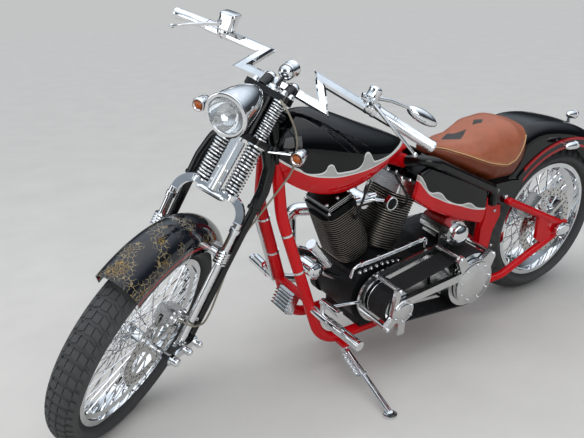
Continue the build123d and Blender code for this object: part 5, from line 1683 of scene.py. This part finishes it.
@dataclass
class ForkTrim:
    """Rings, collars, cups, nuts and gauges that finish the springer fork."""

    half: float = 112.0
    rigid_low: tuple[float, float] = (-86.0, 42.0)
    spring_low: tuple[float, float] = (-22.0, 26.0)
    leg_top: tuple[float, float] = (40.0, 444.0)
    band_heights: tuple[float, ...] = (318.0, 327.0, 336.0, 345.0, 354.0)
    collar_height: float = 424.0

    def build(self) -> None:
        """Dress both legs, the springs' seats and the pivots."""
        (x, z), (top_x, top_z) = self.spring_low, self.leg_top
        way = Vector((top_x - x, 0, top_z - z)).normalized()
        band = ((11, -2.6), (20.5, -2.6), (21.5, 0), (20.5, 2.6), (11, 2.6))
        collar = ((11, -8), (15.5, -7), (16, 7), (11, 8))
        for side, sign in SIDES:
            foot = Vector((x, sign * self.half, z))
            rings = Shape()
            for height in self.band_heights:
                rings.turn(band, foot + way * (height - z), way, 40, closed=True)
            rings.turn(collar, foot + way * (self.collar_height - z), way, 40, closed=True)
            rings.piece(f"leg_rings_{side}", Space.FORK)
            cups = Shape()
            for low, up, wide in ((502, 1, 29), (664, -1, 29), (684, 1, 22), (806, -1, 22)):
                cup = ((0, 0), (wide, 0), (wide, 4), (wide - 4, 6), (wide - 9, 6), (0, 6))
                cups.turn(cup, (36, sign * 48, low), (0, 0, up), 36)
            cups.piece(f"spring_cups_{side}", Space.FORK)
            ends = [(forward, sign * 150, up) for forward, up in (self.rigid_low, self.spring_low)]
            REPEAT.stand(f"pivot_nuts_{side}", Space.FORK, nut(13, 13), ends, (0, sign, 0), sides=20)
            bridge = [(58, sign * 34, 484)]
            REPEAT.stand(f"bridge_nut_{side}", Space.FORK, nut(9, 15), bridge, (0, sign, 0), sides=16)
            heads = [(36, sign * 48, 826), (4, sign * 62, 826)]
            REPEAT.stand(f"clamp_nuts_{side}", Space.FORK, nut(12, 16), heads, UP, sides=20)
        crown = ((0, 0), (24, 0), (24, 6), (19, 9), (17, 16), (8, 20), (0, 21))
        Shape().turn(crown, (0, 0, 826), UP, 40).piece("stem_nut", Space.FORK)
        gauge = Shape().turn((
            (0, -12), (10, -11), (19, -6), (24, 3), (25.6, 14), (25.6, 36), (27, 38), (27, 46), (24.5, 48),
            (22, 46), (0, 46),
        ), (-34, 0, 892), (-38, 0, 22), 48)
        dome = ((0, 24), (9, 23), (16, 19), (20.6, 12), (21.4, 6), (21.4, 0), (0, 0))
        for y in (-40, 40):
            gauge.turn(dome, (-44, y, 854), (-34, 0, 36), 40)
        gauge.piece("gauge_shell", Space.FORK)
        bolts = [(62.5, 12, 520), (61, 12, 560), (62.5, -12, 520), (61, -12, 560)]
        REPEAT.stand("centre_bar_nuts", Space.FORK, nut(5.5, 7), bolts, AHEAD)
        bar = Shape().plate(((50, -20, 498), (64, -20, 498), (58, -20, 654), (46, -20, 654)), (0, 40, 0))
        bar.piece("centre_bar", Space.FORK, ALUMINIUM)


@dataclass
class BrakeTrim:
    """Piston covers and bridge screws on both calipers, and the rotors' drilled rows."""

    holes: int = 30
    proud: float = 0.15
    lead: float = 0.1

    def drill(self, name: str, space: Space, radii: Sequence[float], faces: tuple[float, float]) -> None:
        """Lay dark drillings on both faces of a rotor.

        Args:
            name: The piece's name.
            space: The wheel's space.
            radii: Radius of each row.
            faces: Where the rotor's faces lie across the machine.
        """
        hole = ((0, 0.1), (3.6, 0.1), (3.9, 0), (0, 0))
        for row, radius in enumerate(radii):
            for face, way in enumerate((-1, 1)):
                out = Matrix.Translation((0, faces[face] + way * self.proud, 0))
                turned = Matrix.Rotation(self.lead * row, 4, "Y") @ out
                label = f"{name}_{row}_{face}"
                REPEAT.circle(label, space, hole, radius, self.holes, turned, way, CAST_BLACK)

    def build(self) -> None:
        """Dress the front caliper in the fork's space and the rear one in the machine's."""
        self.drill("front_drillings", Space.FRONT_WHEEL, (102.0, 121.0), (56.0, 60.5))
        self.drill("rear_drillings", Space.REAR_WHEEL, (119.0, 138.0), (84.0, 90.0))
        cover = [(0, 0), (20, 0), (20, 4), (17, 6), (14, 6), (13, 3), (5, 3), (4, 6), (0, 6)]
        for name, space, centre, turn, face in (
            ("front_caliper", Space.FORK, (44.0, 112.0), 4.0, 84.5),
            ("rear_caliper", Space.BIKE, (96.0, 417.0), -45.0, 116.0),
        ):
            c, s = math.cos(math.radians(turn)), math.sin(math.radians(turn))
            for part, profile, finish, sides, spots in (
                ("covers", cover, ALUMINIUM, 32, ((-25, 0), (25, 0))),
                ("screws", screw(5, 6), CHROME, 12, ((-48, -20), (48, -20), (-48, 20), (48, 20), (0, 22))),
            ):
                points = [(centre[0] + x * c - z * s, face, centre[1] + x * s + z * c) for x, z in spots]
                REPEAT.stand(f"{name}_{part}", space, profile, points, LEFT, finish, sides)


@dataclass
class PrimaryTrim:
    """Domed covers, screws and belt ribs of the open primary drive."""

    clutch: tuple[float, float] = (574.0, 296.0)
    face: float = 254.0
    starter: tuple[float, float] = (608.0, 462.0)

    def build(self) -> None:
        """Make the covers, their screws, the stand-off nuts, the belt's ribs and the starter's end."""
        dome = ((0, 9), (0.3, 8.6), (0.56, 7), (0.7, 5.4), (0.74, 3.4), (0.95, 3), (1, 0), (0, 0))
        for name, (x, z), size, count in (("crank", CRANK, 43, 6), ("clutch", self.clutch, 82, 9)):
            cover = Shape().turn([(r * size, h) for r, h in dome], (x, self.face, z), LEFT, 64)
            cover.piece(f"{name}_cover", Space.BIKE, ALUMINIUM)
            turned = Matrix.Translation((x, self.face + 2.5, z))
            REPEAT.circle(f"{name}_cover_screws", Space.BIKE, screw(4.6, 5), size * 0.86, count, turned)
        posts = [(x, self.face, z) for x, z in ((930, 364), (970, 228), (658, 408), (498, 392))]
        REPEAT.stand("standoff_nuts", Space.BIKE, nut(9, 9), posts, LEFT, sides=16)
        self.ribs()
        x, z = self.starter
        cap = ((0, 10), (12, 9), (24, 5), (31, 0), (37, -4), (38.5, -10), (36, -12), (0, -12))
        Shape().turn(cap, (x, 196, z), LEFT, 48).piece("starter_cap", Space.BIKE)
        REPEAT.circle("starter_screws", Space.BIKE, screw(4.5, 5), 41, 6, Matrix.Translation((x, 168, z)))

    def ribs(self) -> None:
        """Lay the ribs across the belt's upper run."""
        low = Vector((self.clutch[0], 0, self.clutch[1] + 110.3))
        span = Vector((CRANK[0], 0, CRANK[1] + 64.3)) - low
        lean = math.atan2(span.z, span.x)
        outline = ((-1.2, 152, 0.2), (1.2, 152, 0.2), (1.2, 152, 1.0), (-1.2, 152, 1.0))
        rib = Shape().plate(outline, (0, 74, 0)).plain()
        rib.transform(Matrix.Rotation(-lean, 4, "Y"))
        count = int(span.length / 8)
        rows = REPEAT.run(REPEAT.row, rib, RUBBER, Count=count, Step=tuple(span / count), Taper=0.0)
        rows.transform(Matrix.Translation(low + Vector((-math.sin(lean), 0, math.cos(lean))) * 0.2))
        settle("belt_ribs_upper", rows, Space.BIKE, RUBBER)


@dataclass
class EngineTrim:
    """Cover screws, case nuts, oil lines, spark leads, horn and filter."""

    def build(self) -> None:
        """Dress the crankcase and what stands round it."""
        for name, x, z, radius, count in (
            ("cam_cover", 922.0, 298.0, 74, 9), ("pump_cover", 978.0, 250.0, 38, 5),
        ):
            turned = Matrix.Translation((x, -126.0, z))
            REPEAT.circle(f"{name}_screws", Space.BIKE, screw(4.6, 5), radius, count, turned, -1)
        studs = [(822 + 24 * k, 110, 392 - 2 * abs(k - 3)) for k in range(8)]
        REPEAT.stand("case_nuts", Space.BIKE, nut(7, 9), studs, LEFT)
        line = Shape()
        for rise, out in ((0, 0), (11, 5)):
            route = (
                (1024, 104 + out, 372), (1018, 108 + out, 398 + rise), (1004, 110 + out, 408 + rise),
                (930, 114 + out, 414 + rise), (812, 116 + out, 427 + rise), (716, 116 + out, 440 + rise),
                (702, 114 + out, 432 + rise), (696, 108 + out, 404),
            )
            line.tube(route, 4.2, 12)
            for share in (0.06, 0.3, 0.54, 0.78, 0.96):
                at = Vector(route[2]).lerp(Vector(route[5]), share)
                line.turn(((3, -6), (6.4, -5), (6.4, 5), (3, 6)), at, (-1, 0, 0.11), 6, closed=True)
        line.piece("case_oil_lines", Space.BIKE)
        horn, filter_end = (872, 106, 612), (1135, 62, 402)
        for name, origin, finish, closed, profile in (
            ("horn_cover", horn, CAST_BLACK, False, (
                (0, 8), (9, 7.4), (15, 5), (18, 2), (19, -14), (0, -14),
            )),
            ("horn_ring", horn, CHROME, True, ((18, 1), (20, 4), (23, 4), (24.5, 1), (24.5, -14), (18, -14))),
            ("filter_cap", filter_end, CHROME, False, (
                (0, 8), (12, 7), (20, 4), (24, 0), (28.5, -2), (28.5, -10), (27.6, -12), (0, -12),
            )),
        ):
            Shape().turn(profile, origin, LEFT, 40, closed).piece(name, Space.BIKE, finish)
        for name, route in (
            ("front", ((1000, 66, 574), (1006, 92, 590), (1004, 102, 622), (985, 96, 655), (968, 84, 690))),
            ("rear", ((800, 66, 566), (794, 92, 586), (800, 102, 622), (822, 96, 660), (846, 82, 700))),
        ):
            boot = (route[0], Vector(route[0]).lerp(Vector(route[1]), 0.9))
            lead = Shape().tube(route, 4.0, 10).tube(boot, (8, 6.5), 14)
            lead.piece(f"{name}_spark_lead", Space.BIKE, RUBBER)


@dataclass
class FrameTrim:
    """Clips, bolts, caps and peg rings on the frame, and the stand's spring."""

    def build(self) -> None:
        """Dress the frame, the struts, the axle and the stand."""
        for name, sign in (("strut_bolts", 1), ("far_strut_bolts", -1)):
            spots = [(x, sign * 125.3, z) for x, z in ((378, 564), (322, 527))]
            REPEAT.stand(name, Space.BIKE, screw(9, 7), spots, (0, sign, 0), sides=20)
        clip, peg = ((19.2, -4), (21.5, -4), (21.5, 4), (19.2, 4)), ((16, -4), (18, -3), (18, 3), (16, 4))
        for side, sign in SIDES:
            for name, profile, shares, start, end, sides in (
                ("tube_clips", clip, (0.12, 0.4), (1282, sign * 66, 640), (1128, sign * 97, 143), 36),
                ("peg_rings", peg, (0.1, 0.3, 0.36, 0.9), (1168, sign * 184, 288),
                 (1150, sign * 330, 274), 32),
            ):
                first, last = Vector(start), Vector(end)
                rings = Shape()
                for share in shares:
                    rings.turn(profile, first.lerp(last, share), last - first, sides, closed=True)
                rings.piece(f"{name}_{side}", Space.BIKE)
            plates = [(x, sign * 107, z) for x, z in ((352, 470), (340, 320), (396, 320))]
            REPEAT.stand(f"gusset_screws_{side}", Space.BIKE, screw(6, 6), plates, (0, sign, 0), sides=14)
            Shape().skin([
                ring(
                    (0, sign * (178.3 + out), REAR_RADIUS), Vector((36 * size, 0, 0)),
                    Vector((0, 0, 20 * size)), 40,
                )
                for out, size in ((0, 1.0), (4, 1.0), (7, 0.9), (8.5, 0.6))
            ]).piece(f"axle_cover_{side}", Space.BIKE)
        self.stand()

    def stand(self) -> None:
        """Hang the stand's return spring beside its leg, between two hooks and a ring."""
        top = (Space.BIKE.matrix @ Vector((1046, 130, 110))) / MM
        way = (Vector((1108, 448, 12)) - top).normalized()
        side = way.cross(Vector(UP)).normalized()
        coil = REPEAT.run(
            REPEAT.coil, bpy.data.meshes.new("none"), CHROME, Turns=17.0, Radius=8.0, Height=110.0, Wire=1.6,
        )
        turned = way.to_track_quat("Z", "Y").to_matrix().to_4x4()
        coil.transform(Matrix.Translation(top + way * 34 + side * 22) @ turned)
        settle("stand_spring", coil, Space.FLOOR)
        hooks = Shape().turn(((9.8, -5), (14, -4), (14, 4), (9.8, 5)), top + way * 150, way, 32, closed=True)
        for near, far in ((150, 146), (30, 34)):
            hooks.tube((top + way * near + side * 8, top + way * far + side * 24), 3, 10)
        hooks.piece("stand_ring", Space.FLOOR)


@dataclass(frozen=True)
class Carried:
    """CAD nodes that keep their shape, and the finish that each takes."""

    table: tuple[tuple[Finish, str], ...] = (
        (RED_PAINT, "frame_backbone cradle_left cradle_right frame_crossmembers swingarm_left "
                    "swingarm_right"),
        (TANK_PAINT, "fuel_tank"), (OIL_TANK_PAINT, "oil_tank"), (FENDER_PAINT, "front_fender"),
        (STRUT_PAINT, "fender_struts"), (BLACK_PAINT, "rear_fender"),
        (BLACK_SATIN, "seat_rails rigid_fork top_clamp"),
        (CHROME, "front_rim rear_rim rear_axle pushrod_tubes exhaust left_control right_control spring_fork "
                 "rockers front_axle side_stand engine_fittings intake"),
        (ALUMINIUM, "primary_plate primary_pulleys primary_guard fork_damper rear_pulley starter "
                    "front_caliper rear_caliper regulator"),
        (HEAD_FINISH, "rocker_boxes"),
        (CAST_BLACK, "crankcase gearbox"),
        (STEEL, "front_rotor rear_rotor"),
        (RUBBER, "primary_belt final_belt"),
        (BRAID, "brake_hose"),
    )

    def build(self, nodes: dict[str, bpy.types.Object]) -> None:
        """Give each node its finish.

        Args:
            nodes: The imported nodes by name.
        """
        for finish, names in self.table:
            for name in names.split():
                STOCK.dress(nodes[name].data, finish)
                LOG.info("%s: %s", name, finish.name)


@dataclass
class Studio:
    """Pale floor, soft lights and the camera of the photograph."""

    eye: tuple[float, float, float] = (2.36968, 1.91630, 1.30381)
    target: tuple[float, float, float] = (1.17329, 0.02365, 0.55319)
    roll: float = -0.039
    lens: float = 44.03
    backdrop: str = "c3c5c5"
    brightness: float = 1.65

    def camera(self) -> None:
        """Set the camera at the photograph's place, with its slight roll."""
        ahead = (Vector(self.target) - Vector(self.eye)).normalized()
        right = ahead.cross(Vector(UP)).normalized()
        above = right.cross(ahead)
        c, s = math.cos(self.roll), math.sin(self.roll)
        data = bpy.data.cameras.new("camera")
        data.sensor_width, data.lens, data.clip_end = 36.0, self.lens, 200
        camera = add_object("camera", data)
        turned = Matrix((right * c + above * s, above * c - right * s, -ahead)).transposed().to_4x4()
        camera.matrix_world = Matrix.Translation(self.eye) @ turned
        bpy.context.scene.camera = camera

    def floor(self) -> None:
        """Lay the floor as one wide plane."""
        shape = Shape()
        corners = ((-20000, -20000, 0), (20000, -20000, 0), (20000, 20000, 0), (-20000, 20000, 0))
        shape.mesh.faces.new([shape.mesh.verts.new(corner) for corner in corners])
        mesh = shape.plain()
        mesh.transform(Space.FLOOR.matrix)
        STOCK.dress(mesh, FLOOR)
        add_object("floor", mesh)

    def world(self) -> None:
        """Light from a dark horizon up to a bright, bluish sky, and show the camera a pale backdrop."""
        world = bpy.data.worlds.new("studio")
        bpy.context.scene.world = world
        world.use_nodes = True
        tree = world.node_tree
        way = add_node(tree, "ShaderNodeTexCoord").outputs["Generated"]
        height = add_node(tree, "ShaderNodeSeparateXYZ", {0: way})
        ramp = add_node(tree, "ShaderNodeValToRGB", {0: height.outputs["Z"]})
        stops = ramp.color_ramp.elements
        stops[0].color, stops[1].color = linear("2c2e30"), linear("f6f9fd")
        for place, tone in ((0.2, "2f3235"), (0.36, "6f777f"), (0.6, "c4ced9")):
            stops.new(place).color = linear(tone)
        sky = add_node(tree, "ShaderNodeVectorMath", {0: ramp, "Scale": self.brightness}, operation="SCALE")
        seen = add_node(tree, "ShaderNodeLightPath").outputs["Is Camera Ray"]
        shown = add_node(tree, "ShaderNodeMix", {0: seen, 6: sky, 7: linear(self.backdrop)}, data_type="RGBA")
        tree.links.new(shown.outputs[2], tree.nodes["Background"].inputs["Color"])
        tree.nodes["Background"].inputs["Strength"].default_value = 1.0

    def lamps(self) -> None:
        """Hang soft panels overhead, on the camera's side and at the front, and a wide soft sun over all."""
        for name, place, size, power in (
            ("overhead", (0.9, 0.4, 3.4), 3.2, 6.0), ("key", (3.0, 3.4, 1.9), 2.4, 46.0),
            ("fill", (4.2, -1.2, 1.6), 1.8, 16.0),
        ):
            data = bpy.data.lights.new(name, "AREA")
            data.size, data.energy = size, power
            turned = (Vector((0.9, 0.0, 0.5)) - Vector(place)).to_track_quat("-Z", "Y").to_matrix().to_4x4()
            add_object(name, data).matrix_world = Matrix.Translation(place) @ turned
        data = bpy.data.lights.new("sky", "SUN")
        data.energy, data.angle = 0.12, math.radians(70)
        turned = Vector((0.3, 0.35, 1.0)).to_track_quat("Z", "Y")
        add_object("sky", data).matrix_world = turned.to_matrix().to_4x4()

    def build(self) -> None:
        """Set up the whole studio."""
        self.camera()
        self.floor()
        self.world()
        self.lamps()
        bpy.context.scene.view_settings.view_transform = "Standard"


FRONT_ROWS = (
    (-57, -38, 0.5, 0.1), (-35, -13, 0.3, 0.0), (-10, 10, 0.1, 0.1), (13, 35, 0.0, 0.3), (38, 57, 0.1, 0.5),
)
REAR_ROWS = (
    (-57, -42, 0.9, 0.5), (-40, -24, 0.5, 0.2), (-22, -5, 0.2, 0.0), (5, 22, 0.0, 0.2), (24, 40, 0.2, 0.5),
    (42, 57, 0.5, 0.9),
)


def main() -> None:
    """Build and dress the machine in order."""
    logging.basicConfig(level=logging.INFO, format="%(name)s: %(message)s")
    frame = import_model()
    Studio().build()
    Carried().build(frame["nodes"])
    for assembly in (
        Tyre(
            "front_tyre", Space.FRONT_WHEEL, radius=350, crown=57, lip_radius=281, lip_half=34, pitches=62,
            rows=FRONT_ROWS,
        ),
        Tyre(
            "rear_tyre", Space.REAR_WHEEL, radius=REAR_RADIUS, crown=103, lip_radius=247, lip_half=76,
            pitches=40, rows=REAR_ROWS,
        ),
        LacedWheel(
            "front", Space.FRONT_WHEEL, hub_radius=24, neck=18, flange_radius=38, flange_half=30, half=52,
            bore=11.05, reach=254, wire=1.7,
        ),
        LacedWheel(
            "rear", Space.REAR_WHEEL, hub_radius=30, neck=22.5, flange_radius=46, flange_half=44, half=129,
            bore=12.55, reach=210, wire=2.0,
        ),
        ForkSprings(), ForkTrim(), HeadLamp(), LampSet(), ZBars(), BarControls(), BarMirror(), BrakeTrim(),
        FinnedCylinders(), EngineTrim(), PrimaryTrim(), FrameTrim(), SeatPad(),
    ):
        LOG.info("building %s", type(assembly).__name__)
        assembly.build()


if __name__ == "__main__":
    main()
